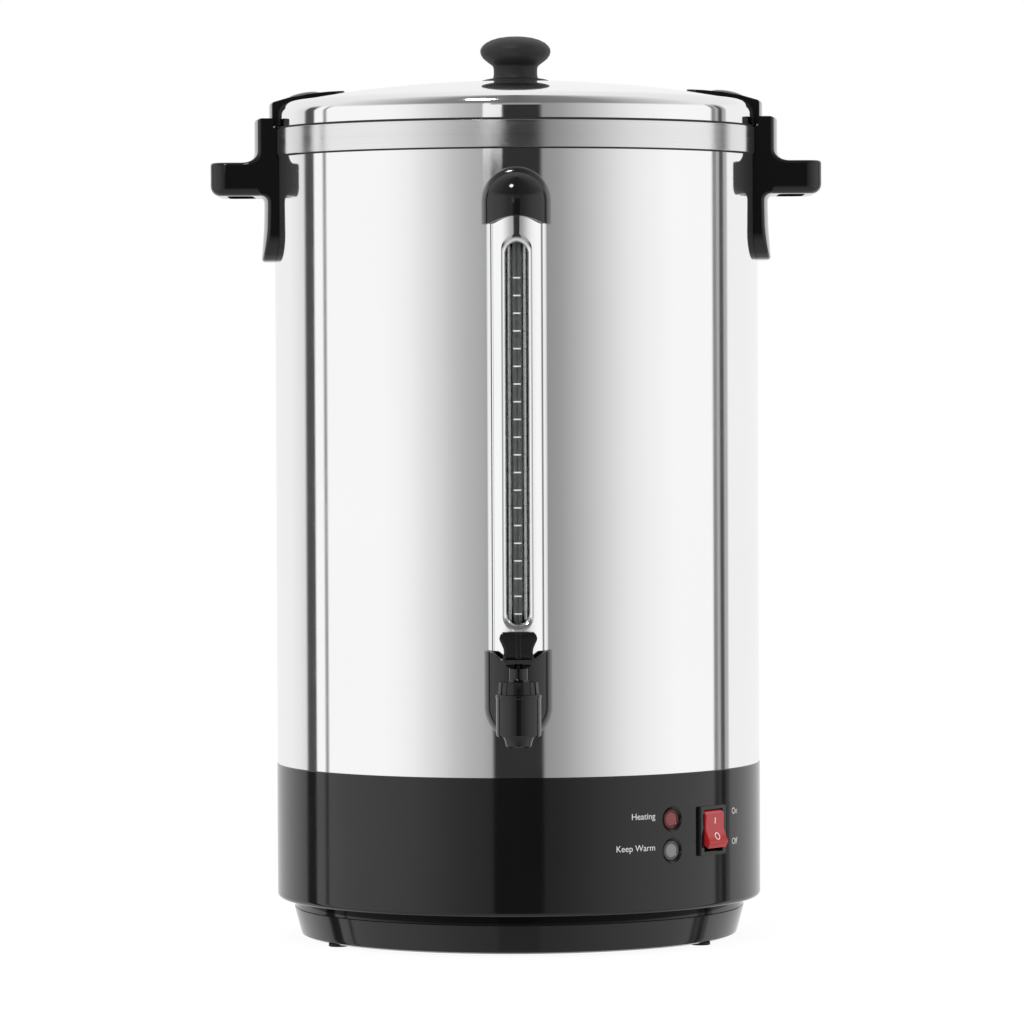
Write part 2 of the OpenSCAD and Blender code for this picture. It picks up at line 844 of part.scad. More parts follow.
// Tap
module tap_body() {
    color("black") difference() {
        union() {
            translate([0, -tap_q, 0]) {
                translate([0, 0, spout_top]) cylinder(r = barrel_r, h = barrel_h);
                translate([0, 0, spout_z])
                    cylinder(r1 = barrel_r - spout_in - spout_taper, r2 = barrel_r - spout_in, h = spout_l);
            }
            forward(shank_in, tap_q, shank_r, shank_z);
            forward(tee_front, tap_q, collar_r, shank_z);
        }
        translate([0, -tap_q, seat_z]) cylinder(r = chamber_r, h = far);
        translate([0, -tap_q, spout_z - 1]) cylinder(r = spout_bore_r, h = far);
        forward(shank_in - 1, tap_q, shank_bore_r, shank_z);
        translate([0, -tube_q, shank_z]) cylinder(r = gauge_port_r, h = shank_r + 5);
    }
}

module tap_bonnet() {
    color("black") translate([0, -tap_q, 0]) difference() {
        union() {
            translate([0, 0, barrel_z]) difference() {
                cylinder(r = barrel_r - bonnet_step, h = bonnet_h - bonnet_chamfer);
                for (i = [0 : bonnet_ribs - 1]) rotate([0, 0, i * 360 / bonnet_ribs])
                    translate([barrel_r - move_gap, 0, rib_groove_r])
                        cylinder(r = rib_groove_r, h = bonnet_h, $fn = 24);
            }
            translate([0, 0, bonnet_z - bonnet_chamfer])
                cylinder(r1 = barrel_r - bonnet_step - bonnet_chamfer, r2 = neck_r + bonnet_chamfer,
                    h = bonnet_chamfer);
            translate([0, 0, bonnet_z - 1]) cylinder(r = neck_r, h = neck_h + 1);
            translate([0, 0, spigot_z]) cylinder(r = chamber_r - touch_gap, h = spigot_l + 1);
        }
        translate([0, 0, spigot_z - 1]) cylinder(r = stem_r + run_gap, h = far);
    }
}

module tap_stem() {
    color("black") difference() {
        union() {
            translate([0, -tap_q, seat_z + cup_floor_t])
                cylinder(r = stem_r, h = flat_z - seat_z - cup_floor_t);
            intersection() {
                translate([0, -tap_q, flat_z - 1]) cylinder(r = stem_r, h = pivot_z - flat_z + 1);
                translate([-eye_t / 2, -tap_q - far, flat_z - 1]) cube([eye_t, 2 * far, far]);
            }
            outward(-eye_t / 2, eye_t / 2, eye_r, pivot_z, -tap_q);
        }
        outward(-eye_t, eye_t, pin_r + run_gap, pivot_z, -tap_q);
    }
}

module valve_cup() {
    color("whitesmoke") translate([0, -tap_q, seat_z + touch_gap]) difference() {
        union() {
            cylinder(r1 = spout_bore_r + seat_land, r2 = cup_r, h = cup_chamfer);
            translate([0, 0, cup_chamfer]) cylinder(r = cup_r, h = cup_h - cup_chamfer);
        }
        translate([0, 0, cup_floor_t - touch_gap]) cylinder(r = stem_r, h = cup_h);
    }
}

// The spring is one tube along a helix, closed by a cap at each end
spring_rings = round(8 * spring_turns);
spring_rise = spigot_z - spring_low - 2 * spring_wire - 2 * touch_gap;
spring_sides = 6;
spring_line = [for (i = [0 : spring_rings]) let (a = 360 * spring_turns * i / spring_rings)
    [spring_r * cos(a), spring_r * sin(a),
     spring_low + touch_gap + spring_wire + spring_rise * i / spring_rings]];
spring_least = min([for (i = [0 : spring_rings - 8], j = [i + 6 : spring_rings])
    if (j <= spring_rings) norm(spring_line[j] - spring_line[i])]) - 2 * spring_wire;
echo("least gap of the tap spring to itself", spring_least);

module tap_spring() {
    points = [for (i = [0 : spring_rings], s = [0 : spring_sides - 1])
        let (a = 360 * spring_turns * i / spring_rings, b = 360 * s / spring_sides)
        [(spring_r + spring_wire * cos(b)) * cos(a), (spring_r + spring_wire * cos(b)) * sin(a),
         spring_line[i][2] + spring_wire * sin(b)]];
    sides = [for (i = [0 : spring_rings - 1], s = [0 : spring_sides - 1])
        let (n = spring_sides, a = i * n + s, b = i * n + (s + 1) % n)
        each [[a, b, a + n], [b, b + n, a + n]]];
    last = spring_rings * spring_sides;
    low_cap = [for (s = [1 : spring_sides - 2]) [0, s + 1, s]];
    high_cap = [for (s = [1 : spring_sides - 2]) [last, last + s, last + s + 1]];
    color("silver") translate([0, -tap_q, 0])
        polyhedron(points, [for (f = concat(sides, low_cap, high_cap)) [f[0], f[2], f[1]]]);
}

// Lever: front outline and side profile cut from one block. The heel is a cam that
// raises the pivot evenly as the lever turns, so the stem's lift keeps a constant ratio.
module tap_lever() {
    waist = lever_h * 0.5;
    cam = [for (i = [0 : cam_steps])
        let (turn = (lever_turn + 4) * i / cam_steps, reach = pivot_up + cam_k * turn * PI / 180)
        [-reach * sin(turn) - cam_k * cos(turn), -reach * cos(turn) + cam_k * sin(turn)]];
    front = cam[cam_steps][0];
    top = lever_h - pivot_up - touch_gap;
    slot = eye_t / 2 + move_gap / 2;
    side = lever_turn;
    color("black") translate([0, -tap_q, pivot_z]) difference() {
        intersection() {
            translate([0, far, 0]) rotate([90, 0, 0]) linear_extrude(2 * far) {
                translate([-lever_low_w / 2, -pivot_up]) square([lever_low_w, waist]);
                translate([lever_edge_r / 2 - lever_low_w / 2, 0])
                    square([lever_low_w - lever_edge_r, top - 2]);
                translate([0, top - (lever_h - waist) / 2])
                    rounded_rect(lever_w, lever_h - waist, lever_edge_r);
            }
            rotate([90, 0, 90]) linear_extrude(2 * far, center = true)
                polygon(concat([[lever_back, -pivot_up]], cam,
                    [[front, eye_r], [front + eye_r, top], [lever_back / 2, top], [lever_back, lever_back]]));
        }
        rotate([90, 0, 90]) linear_extrude(2 * slot, center = true) {
            circle(r = eye_r + move_gap);
            polygon([
                [eye_r + move_gap, 0], [eye_r + move_gap, -far], [-far, -far], [-far, -far / tan(side)],
                [-(eye_r + move_gap) * cos(side), (eye_r + move_gap) * sin(side)]
            ]);
        }
        outward(-far, far, pin_r, 0);
    }
}

module rounded_rect(w, h, r) {
    translate([r - w / 2, -h / 2]) square([w - 2 * r, h]);
    translate([-w / 2, r - h / 2]) square([w, h - 2 * r]);
    for (x = [-1, 1], y = [-1, 1]) translate([x * (w / 2 - r), y * (h / 2 - r)]) circle(r = r);
}

module lever_pin() {
    half = lever_low_w / 2 - pin_set_back;
    color("silver") outward(-half, half, pin_r, pivot_z, -tap_q);
}

module shank_washer_outer() {
    color("dimgray") difference() {
        forward(tank_r - 3, tank_r + washer_t, shank_washer_r, shank_z);
        forward(tank_r - 5, far, shank_r, shank_z);
        tank_space();
    }
}

module shank_washer_inner() {
    color("dimgray") difference() {
        intersection() {
            forward(tank_in_r - washer_t, tank_r, shank_washer_r, shank_z);
            tank_space(tank_in_r);
        }
        forward(tank_in_r - far, far, shank_r, shank_z);
    }
}

module shank_nut() {
    front = tank_in_r - washer_t;
    color("goldenrod") difference() {
        translate([0, shank_nut_l - front, shank_z]) rotate([90, 0, 0])
            cylinder(r = shank_r + shank_nut_out, h = shank_nut_l, $fn = 6);
        forward(front - 20, front + 5, shank_r, shank_z);
    }
}

// Base
module base_skirt() {
    low_r = skirt_r - skirt_edge_r;
    edge_z = skirt_z + skirt_edge_r;
    inner_edge = skirt_edge_r - base_wall;
    color("black") difference() {
        union() {
            rotate_extrude() polygon(concat(
                [[skirt_r, base_z], [spigot_r, base_z], [spigot_r, base_z + spigot_h],
                 [spigot_r - spigot_wall, base_z + spigot_h], [spigot_r - spigot_wall, base_z - 5],
                 [skirt_r - base_wall, base_z - 8]],
                arc(low_r, edge_z, inner_edge, 0, -90, 6),
                [[flange_in, skirt_z + base_wall], [flange_in, skirt_z]],
                arc(low_r, edge_z, skirt_edge_r, -90, 0, 12)
            ));
            for (a = base_screw_angles) rotate([0, 0, a])
                translate([base_screw_circle, 0, skirt_z]) cylinder(r = boss_r, h = boss_h);
        }
        for (a = base_screw_angles) rotate([0, 0, a])
            translate([base_screw_circle, 0, skirt_z - 1])
                cylinder(r = base_screw_r, h = boss_h - boss_end_t + 1);
        rotate([0, 0, switch_angle])
            translate([skirt_r - switch_depth, -switch_hole_w / 2, switch_z - switch_hole_h / 2])
                cube([2 * switch_depth, switch_hole_w, switch_hole_h]);
        rotate([0, 0, lamp_angle]) for (z = [lamp_mid_z - lamp_gap / 2, lamp_mid_z + lamp_gap / 2]) {
            outward(skirt_r - 20, skirt_r + 5, lamp_r + seat_gap, z);
            translate([skirt_r - lamp_recess_depth, 0, z]) rotate([0, 90, 0])
                cylinder(r1 = lamp_r + lamp_recess_lip, r2 = lamp_recess_r, h = lamp_recess_depth + 0.2);
        }
        rotate([0, 0, 180]) forward(skirt_r - 20, skirt_r + 5, gland_thread_r, gland_z);
    }
}

module base_plinth() {
    low = foot_h;
    plate = low + base_wall;
    high = low + recess_up;
    color("black") difference() {
        union() {
            rotate_extrude() polygon([
                [plinth_r - plinth_neck_in, skirt_z], [plinth_r - plinth_neck_in, skirt_z - plinth_neck_h],
                [plinth_r, skirt_z - plinth_neck_h],
                [plinth_low_r, low + plinth_edge], [plinth_low_r - plinth_edge, low],
                [centre_recess_r, low], [centre_recess_r - plinth_edge, high], [stud_r + screw_gap, high],
                [stud_r + screw_gap, high + base_wall], [centre_recess_r - recess_draft, high + base_wall],
                [centre_recess_r + plinth_edge, plate], [plinth_low_r - base_wall, plate],
                [plinth_r - base_wall, skirt_z]
            ]);
            for (a = base_screw_angles) rotate([0, 0, a])
                translate([base_screw_circle, 0, low]) cylinder(r = boss_r, h = plinth_h);
        }
        for (a = base_screw_angles) rotate([0, 0, a]) translate([base_screw_circle, 0, low]) {
            translate([0, 0, -1]) cylinder(r = base_screw_r + screw_gap, h = far);
            translate([0, 0, -1]) cylinder(r = base_head_r + move_gap, h = base_head_up + base_head_h + 1);
        }
        for (a = foot_angles) rotate([0, 0, a])
            translate([foot_circle, 0, -1]) cylinder(r = foot_stem_r, h = plate + 2);
    }
}

module rubber_feet() {
    color("dimgray") for (a = foot_angles) rotate([0, 0, a]) translate([foot_circle, 0, 0]) {
        cylinder(r = foot_r, h = foot_h);
        cylinder(r = foot_stem_r, h = foot_h + base_wall);
        translate([0, 0, foot_h + base_wall])
            cylinder(r1 = foot_stem_r + foot_barb, r2 = foot_stem_r - foot_barb, h = foot_barb_h);
    }
}

module base_screws() {
    color("silver") for (a = base_screw_angles) rotate([0, 0, a])
    translate([base_screw_circle, 0, foot_h + base_head_up]) {
        cylinder(r = base_head_r, h = base_head_h);
        cylinder(r = base_screw_r, h = plinth_h - base_head_up + boss_h - boss_end_t - screw_end_gap);
    }
}

// Rocker switch, made at +X and turned to its place
module switch_body() {
    inner_w = switch_w - 2 * frame_wall - 1;
    inner_h = switch_h - 2 * frame_wall - 1;
    back = skirt_r - switch_depth;
    well = pivot_x - 8;
    color("black") rotate([0, 0, switch_angle]) difference() {
        union() {
            difference() {
                translate([skirt_r - 5, -switch_w / 2, switch_z - switch_h / 2])
                    cube([switch_front - skirt_r + 5, switch_w, switch_h]);
                cylinder(r = skirt_r, h = far);
            }
            translate([back, -inner_w / 2, switch_z - inner_h / 2])
                cube([switch_front - back, inner_w, inner_h]);
        }
        translate([well, -rocker_w / 2 - 0.25, switch_z - rocker_half - 1.5])
            cube([far, rocker_w + 0.5, 2 * rocker_half + 3]);
        translate([pivot_x, -rocker_w / 2 - trunnion_l - 0.2, switch_z]) rotate([-90, 0, 0])
            cylinder(r = trunnion_r + run_gap, h = rocker_w + 2 * trunnion_l + 0.4);
    }
}

// The rocker's profile is made about its pivot at mid travel and tipped to "on"
module switch_rocker() {
    rise = rocker_half * tan(rocker_turn / 2);
    color("red") rotate([0, 0, switch_angle]) translate([pivot_x, 0, switch_z])
        rotate([0, -rocker_turn / 2, 0]) {
            rotate([90, 0, 0]) linear_extrude(rocker_w, center = true) polygon([
                [rocker_reach, 0], [rocker_reach + rise, rocker_half], [rocker_reach - 2, rocker_half],
                [-4, 4], [-4, -4], [rocker_reach - 2, -rocker_half], [rocker_reach + rise, -rocker_half]
            ]);
            rotate([90, 0, 0]) cylinder(r = trunnion_r, h = rocker_w + 2 * trunnion_l, center = true);
        }
}

// A lamp lens: a round window with a flange behind the skirt's wall
module lamp_lens(z) {
    inner = skirt_r - base_wall - lens_gap;
    rotate([0, 0, lamp_angle]) {
        outward(inner - lamp_flange_t, skirt_r - lamp_set_back, lamp_r, z);
        outward(inner - lamp_flange_t, inner, lamp_r + lamp_flange, z);
    }
}

module lamp_lens_heat() {
    color("orangered") lamp_lens(lamp_mid_z + lamp_gap / 2);
}

module lamp_lens_warm() {
    color("lightgray") lamp_lens(lamp_mid_z - lamp_gap / 2);
}

module lamp_holders() {
    front = skirt_r - base_wall - lens_gap - lamp_flange_t;
    color("ivory") rotate([0, 0, lamp_angle])
        for (z = [lamp_mid_z - lamp_gap / 2, lamp_mid_z + lamp_gap / 2])
            outward(front - holder_l, front, lamp_r + lamp_flange, z);
}

// Heating parts
module element_plate() {
    color("lightgray") ring(element_plate_r, stud_r + screw_gap, floor_z - element_plate_t, floor_z);
}

module heating_element() {
    half_gap = element_gap_angle / 2;
    color("dimgray") {
        rotate([0, 0, 90 + half_gap]) rotate_extrude(angle = 360 - 2 * half_gap)
            translate([element_ring_r, element_z]) circle(r = element_r, $fn = 48);
        for (side = [-1, 1]) rotate([0, 0, 90 + side * (half_gap + element_pin_in)])
            translate([element_ring_r, 0, element_z - element_pin_l])
                cylinder(r = element_pin_r, h = element_pin_l, $fn = 48);
    }
}

module element_clamp() {
    length = 2 * element_plate_r;
    color("silver") difference() {
        translate([-length / 2, -clamp_w / 2, clamp_z]) cube([length, clamp_w, clamp_t]);
        translate([0, 0, clamp_z - 1]) cylinder(r = stud_r + screw_gap, h = clamp_t + 2);
    }
}

module thermostat(x, y, r) {
    translate([x, y, stat_z]) cylinder(r = r, h = stat_h);
    for (side = [-1, 1])
        translate([x + side * r / 2 - stat_tab_w / 2, y - stat_tab_t / 2, stat_z - stat_tab_l])
            cube([stat_tab_w, stat_tab_t, stat_tab_l + stat_tab_root]);
}

module boil_thermostat() {
    color("ivory") thermostat(-stat_x, stat_y, stat_r);
}

module warm_thermostat() {
    color("ivory") thermostat(stat_x, stat_y, stat_r);
}

module dry_cutout() {
    color("tan") thermostat(0, cutout_y, cutout_r);
}

module terminal_block() {
    pitch = block_size[0] / block_ways;
    color("ivory") translate([block_place[0], block_place[1], foot_h + base_wall]) difference() {
        cube(block_size);
        for (i = [0 : block_ways - 1]) translate([pitch * (i + 0.5), block_size[1] / 2, block_floor_t])
            cylinder(r = block_bore_r, h = block_size[2]);
    }
}

// Cord gland at the rear, and its nut inside the skirt
module cord_gland() {
    front = skirt_r + gland_flange_t;
    color("black") rotate([0, 0, 180]) difference() {
        union() {
            difference() {
                forward(skirt_r - 3, front, gland_flange_r, gland_z);
                cylinder(r = skirt_r, h = far);
            }
            forward(front - 1, front + gland_cap_l, gland_flange_r - 2, gland_z);
            forward(skirt_r - gland_in, front, gland_thread_r, gland_z);
        }
        forward(skirt_r - gland_in - 1, far, gland_bore_r, gland_z);
    }
}

module gland_nut() {
    front = sqrt(pow(skirt_r - base_wall, 2) - gland_nut_r * gland_nut_r);
    color("black") rotate([0, 0, 180]) difference() {
        translate([0, gland_nut_l - front, gland_z]) rotate([90, 0, 0])
            cylinder(r = gland_nut_r, h = gland_nut_l, $fn = 6);
        forward(skirt_r - gland_bore_l, skirt_r, gland_thread_r, gland_z);
    }
}

tank_barrel();
tank_floor();
rim_band();
centre_stud();
clamp_nut();
centre_washer();
centre_nut();
lid();
lid_gasket();
lid_knob();
knob_base();
knob_screw();
knob_washer();
lid_lug_left();
lid_lug_right();
lug_caps();
lug_screws();
handle_left();
handle_right();
handle_screws();
gauge_cover();
gauge_hood();
hood_screw();
gauge_tube();
tube_seal_upper();
tube_seal_lower();
gauge_tee();
gauge_housing();
tap_body();
tap_bonnet();
tap_stem();
valve_cup();
tap_spring();
tap_lever();
lever_pin();
shank_washer_outer();
shank_washer_inner();
shank_nut();
base_skirt();
base_plinth();
rubber_feet();
base_screws();
switch_body();
switch_rocker();
lamp_lens_heat();
lamp_lens_warm();
lamp_holders();
element_plate();
heating_element();
element_clamp();
boil_thermostat();
warm_thermostat();
dry_cutout();
terminal_block();
cord_gland();
gland_nut();
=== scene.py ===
"""Hot water urn: the dressed model, its studio and its camera."""
import json
import math

import bmesh
import bpy
from mathutils import Matrix, Vector


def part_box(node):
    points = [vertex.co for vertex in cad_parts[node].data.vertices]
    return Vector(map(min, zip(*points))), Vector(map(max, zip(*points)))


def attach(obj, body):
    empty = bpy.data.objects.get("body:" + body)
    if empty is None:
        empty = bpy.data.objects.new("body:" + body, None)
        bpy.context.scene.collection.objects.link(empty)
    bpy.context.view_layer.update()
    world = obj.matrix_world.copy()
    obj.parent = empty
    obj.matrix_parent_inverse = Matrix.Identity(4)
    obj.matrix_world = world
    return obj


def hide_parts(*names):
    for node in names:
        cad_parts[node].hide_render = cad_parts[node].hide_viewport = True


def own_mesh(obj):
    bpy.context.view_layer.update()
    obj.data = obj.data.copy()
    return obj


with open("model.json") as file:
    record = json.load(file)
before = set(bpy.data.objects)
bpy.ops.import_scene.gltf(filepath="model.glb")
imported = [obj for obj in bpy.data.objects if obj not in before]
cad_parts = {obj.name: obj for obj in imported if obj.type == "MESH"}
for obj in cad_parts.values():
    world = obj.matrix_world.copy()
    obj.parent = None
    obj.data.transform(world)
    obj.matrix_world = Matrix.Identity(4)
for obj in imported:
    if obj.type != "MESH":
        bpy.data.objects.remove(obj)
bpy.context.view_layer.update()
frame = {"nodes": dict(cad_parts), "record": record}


# Tank barrel
# Polished stainless sheet, rolled into a tube and welded up the back.
# Its foot sits round the base's spigot, and the rim band is pressed over its top.
MM = 0.001
TANK_R = 150.0
TANK_FOOT = 109.0
TANK_TOP = 500.3
TANK_WALL = 0.8
SEAM_T = 0.12
SEAM_SWEEP = 0.7
ROUND_STEPS = 320
BROAD_SHARE = 0.08
RELIEF_DEPTH = 0.2


def face_out(shape):
    """Turns the faces of a shape outwards."""
    bmesh.ops.recalc_face_normals(shape, faces=shape.faces)


def turned(outline, steps=256, sweep=360.0):
    """A solid turned round the upright axis, from an outline of (radius, height) points in mm."""
    shape = bmesh.new()
    points = [shape.verts.new((r * MM, 0, z * MM)) for r, z in outline]
    links = list(zip(points, points[1:]))
    if outline[0][0] > 0 or outline[-1][0] > 0:
        links.append((points[-1], points[0]))
    edges = [shape.edges.new(link) for link in links]
    start = Matrix.Rotation(-math.radians(sweep) / 2, 4, "Z")
    bmesh.ops.transform(shape, matrix=start, verts=points)
    bmesh.ops.spin(shape, geom=points + edges, cent=(0, 0, 0), axis=(0, 0, 1),
                   angle=math.radians(sweep), steps=steps, use_merge=sweep == 360.0)
    bmesh.ops.remove_doubles(shape, verts=shape.verts, dist=1e-7)
    if sweep < 360.0:
        open_ends = [e for e in shape.edges if e.is_boundary]
        bmesh.ops.holes_fill(shape, edges=open_ends, sides=0)
    face_out(shape)
    return shape


def bevel(shape, edges, width, segments):
    """Rounds the given edges by a width in mm."""
    bmesh.ops.bevel(shape, geom=edges, offset=width * MM, offset_type="OFFSET", segments=segments,
                    profile=0.5, affect="EDGES", clamp_overlap=True, material=-1)


def soften(shape, width, segments=3, angle=35.0, side=None):
    """Rounds sharp edges; side "out" or "in" keeps to the convex or the concave ones."""
    shape.normal_update()
    sharp = [e for e in shape.edges if e.is_manifold and e.calc_face_angle() > math.radians(angle)]
    if side:
        sharp = [e for e in sharp if e.is_convex == (side == "out")]
    bevel(shape, sharp, width, segments)
    return shape


def as_mesh(name, shape):
    """The shape as a mesh; the shape itself is used up."""
    mesh = bpy.data.meshes.new(name)
    shape.to_mesh(mesh)
    shape.free()
    return mesh


def in_scene(name, data):
    """An object in the scene, for a mesh or other data."""
    made = bpy.data.objects.new(name, data)
    bpy.context.scene.collection.objects.link(made)
    return made


def piece(name, shape, finish, crease=30.0):
    """A finished object: smooth, with its creases kept, standing where its mesh puts it."""
    mesh = as_mesh(name, shape)
    mesh.materials.append(finish)
    mesh.shade_smooth()
    mesh.set_sharp_from_angle(angle=math.radians(crease))
    made = in_scene(name, mesh)
    even = made.modifiers.new("even_shading", "WEIGHTED_NORMAL")
    even.keep_sharp = True
    return made


def surface_marks():
    """Broad and fine marks of a surface: a shade, a roughness between two values, and a height."""
    group = bpy.data.node_groups.new("surface_marks", "ShaderNodeTree")
    group.interface.new_socket("Vector", in_out="INPUT", socket_type="NodeSocketVector")
    for label in ("Scale", "Low", "High"):
        group.interface.new_socket(label, in_out="INPUT", socket_type="NodeSocketFloat")
    for label in ("Shade", "Roughness", "Height"):
        group.interface.new_socket(label, in_out="OUTPUT", socket_type="NodeSocketFloat")
    nodes, links = group.nodes, group.links
    entry = nodes.new("NodeGroupInput")
    leave = nodes.new("NodeGroupOutput")
    wider = nodes.new("ShaderNodeMath")
    wider.operation = "MULTIPLY"
    wider.inputs[1].default_value = BROAD_SHARE
    broad = nodes.new("ShaderNodeTexNoise")
    broad.inputs["Detail"].default_value = 3.0
    fine = nodes.new("ShaderNodeTexNoise")
    fine.inputs["Detail"].default_value = 4.0
    both = nodes.new("ShaderNodeMath")
    both.operation = "MULTIPLY"
    spread = nodes.new("ShaderNodeMapRange")
    spread.inputs["From Min"].default_value = 0.12
    spread.inputs["From Max"].default_value = 0.40
    links.new(entry.outputs["Scale"], wider.inputs[0])
    links.new(wider.outputs[0], broad.inputs["Scale"])
    links.new(entry.outputs["Scale"], fine.inputs["Scale"])
    links.new(entry.outputs["Vector"], broad.inputs["Vector"])
    links.new(entry.outputs["Vector"], fine.inputs["Vector"])
    links.new(broad.outputs["Fac"], both.inputs[0])
    links.new(fine.outputs["Fac"], both.inputs[1])
    links.new(both.outputs[0], spread.inputs["Value"])
    links.new(entry.outputs["Low"], spread.inputs["To Min"])
    links.new(entry.outputs["High"], spread.inputs["To Max"])
    links.new(broad.outputs["Fac"], leave.inputs["Shade"])
    links.new(spread.outputs["Result"], leave.inputs["Roughness"])
    links.new(fine.outputs["Fac"], leave.inputs["Height"])
    return group


marks_group = surface_marks()


def finish(name, colours, roughness, scale, bump, stretch=(1, 1, 1), **sockets):
    """A material whose colour, roughness and height follow the surface marks."""
    material = bpy.data.materials.new(name)
    material.use_nodes = True
    nodes, links = material.node_tree.nodes, material.node_tree.links
    shader = nodes["Principled BSDF"]
    place = nodes.new("ShaderNodeTexCoord")
    lay = nodes.new("ShaderNodeMapping")
    lay.inputs["Scale"].default_value = stretch
    marks = nodes.new("ShaderNodeGroup")
    marks.node_tree = marks_group
    marks.inputs["Scale"].default_value = scale
    marks.inputs["Low"].default_value = roughness[0]
    marks.inputs["High"].default_value = roughness[1]
    shade = nodes.new("ShaderNodeMix")
    shade.data_type = "RGBA"
    shade.inputs["A"].default_value = (*colours[0], 1)
    shade.inputs["B"].default_value = (*colours[1], 1)
    relief = nodes.new("ShaderNodeBump")
    relief.inputs["Strength"].default_value = bump
    relief.inputs["Distance"].default_value = RELIEF_DEPTH * MM
    links.new(place.outputs["Object"], lay.inputs["Vector"])
    links.new(lay.outputs["Vector"], marks.inputs["Vector"])
    links.new(marks.outputs["Shade"], shade.inputs["Factor"])
    links.new(shade.outputs["Result"], shader.inputs["Base Color"])
    links.new(marks.outputs["Roughness"], shader.inputs["Roughness"])
    links.new(marks.outputs["Height"], relief.inputs["Height"])
    links.new(relief.outputs["Normal"], shader.inputs["Normal"])
    for label, value in sockets.items():
        shader.inputs[label.replace("_", " ")].default_value = value
    return material


polished_steel = finish("polished_steel", [(0.90, 0.90, 0.905), (0.94, 0.94, 0.945)], (0.03, 0.07),
                        90, 0.008, Metallic=1.0)
shape = turned([(TANK_R, TANK_FOOT), (TANK_R, TANK_TOP), (TANK_R - TANK_WALL, TANK_TOP),
                (TANK_R - TANK_WALL, TANK_FOOT)], ROUND_STEPS)
satin_steel = finish("satin_steel", [(0.62, 0.62, 0.63), (0.70, 0.70, 0.71)], (0.34, 0.48), 260, 0.05,
                     Metallic=0.5)
for face in shape.faces:
    if face.calc_center_median().xy.length < (TANK_R - TANK_WALL / 2) * MM:
        face.material_index = 1
tank = piece("tank", shape, polished_steel)
tank.data.materials.append(satin_steel)
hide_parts("tank_barrel")
shape = turned([(TANK_R, TANK_FOOT), (TANK_R + SEAM_T, TANK_FOOT), (TANK_R + SEAM_T, TANK_TOP),
                (TANK_R, TANK_TOP)], steps=4, sweep=SEAM_SWEEP)
bmesh.ops.rotate(shape, verts=shape.verts, cent=(0, 0, 0), matrix=Matrix.Rotation(math.radians(90), 3, "Z"))
seam = piece("tank_seam", shape, polished_steel)
for part in (tank, seam):
    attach(part, "urn")


# Rim band
# A hoop of brushed stainless strip round the tank's mouth, folded in at the top
# as the shelf that carries the lid's gasket. A thin black ring under it is painted shade: the dark gap under
# the band.
BAND_R = 151.2
BAND_FOOT = 485.2
BAND_TOP = 501.5
SHELF_R = 143.0
BAND_SHADE_H = 1.0
BAND_SHADE_R = 150.5
brushed_steel = finish("brushed_steel", [(0.74, 0.74, 0.745), (0.84, 0.84, 0.845)], (0.12, 0.18),
                       60, 0.05, stretch=(0.25, 0.25, 110), Metallic=1.0)
shape = turned([(TANK_R, BAND_FOOT), (BAND_R, BAND_FOOT), (BAND_R, BAND_TOP), (SHELF_R, BAND_TOP),
                (SHELF_R, TANK_TOP), (TANK_R, TANK_TOP)], ROUND_STEPS)
soften(shape, width=0.3, segments=2)
band = piece("rim_hoop", shape, brushed_steel)
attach(band, "urn")
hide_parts("rim_band")
black_rubber = finish("black_rubber", [(0.012, 0.012, 0.012), (0.03, 0.03, 0.03)], (0.6, 0.85), 400, 0.3)
# Painted shade: a thin ring in the black rubber finish under the band's foot, standing for the shadow in the
# gap there.
shape = turned([(TANK_R, BAND_FOOT - BAND_SHADE_H), (BAND_SHADE_R, BAND_FOOT - BAND_SHADE_H / 2),
                (BAND_SHADE_R, BAND_FOOT), (TANK_R, BAND_FOOT)], ROUND_STEPS)
band_painted_shade = piece("band_painted_shade", shape, black_rubber)
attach(band_painted_shade, "urn")


# Base skirt
# The deep black moulding that the tank stands in, with a rounded lower edge, a square
# opening for the switch and two dished recesses for the lamps.
SKIRT_R = 150.4
SKIRT_FOOT = 25.5
SKIRT_WALL = 2.5
SKIRT_EDGE_R = 3.0
SKIRT_HOLE_R = 114.0
SPIGOT_R = 149.0
SPIGOT_H = 6.0
SPIGOT_WALL = 2.2
LAMP_ANGLE = -52.1
LAMP_HEIGHTS = (81.5, 62.5)
SWITCH_ANGLE = -39.2
SWITCH_Z = 72.8
SWITCH_W = 25.5
SWITCH_H = 30.0
SWITCH_OVERLAP = 2.3
CUT_LONG = 40.0


def bow(x, z, r, first, last, count):
    """Points of an arc, from one angle to another in degrees."""
    angles = [math.radians(first + (last - first) * i / count) for i in range(count + 1)]
    return [(x + r * math.cos(a), z + r * math.sin(a)) for a in angles]


def carve(shape, tool, how="DIFFERENCE"):
    """The first shape less the second, or joined with it, or what both share."""
    blanks = [in_scene("blank", as_mesh("blank", part)) for part in (shape, tool)]
    cut = blanks[0].modifiers.new("cut", "BOOLEAN")
    cut.operation = how
    cut.solver = "EXACT"
    cut.object = blanks[1]
    result = bmesh.new()
    result.from_object(blanks[0], bpy.context.evaluated_depsgraph_get())
    for blank in blanks:
        bpy.data.meshes.remove(blank.data)
    bmesh.ops.remove_doubles(result, verts=result.verts, dist=1e-6)
    return result


def pushed(outline, push):
    """A flat outline of points in mm, pushed to a thickness."""
    shape = bmesh.new()
    face = shape.faces.new([shape.verts.new(Vector(p) * MM) for p in outline])
    grown = bmesh.ops.extrude_face_region(shape, geom=[face])["geom"]
    far_end = [v for v in grown if isinstance(v, bmesh.types.BMVert)]
    bmesh.ops.translate(shape, verts=far_end, vec=Vector(push) * MM)
    face_out(shape)
    return shape


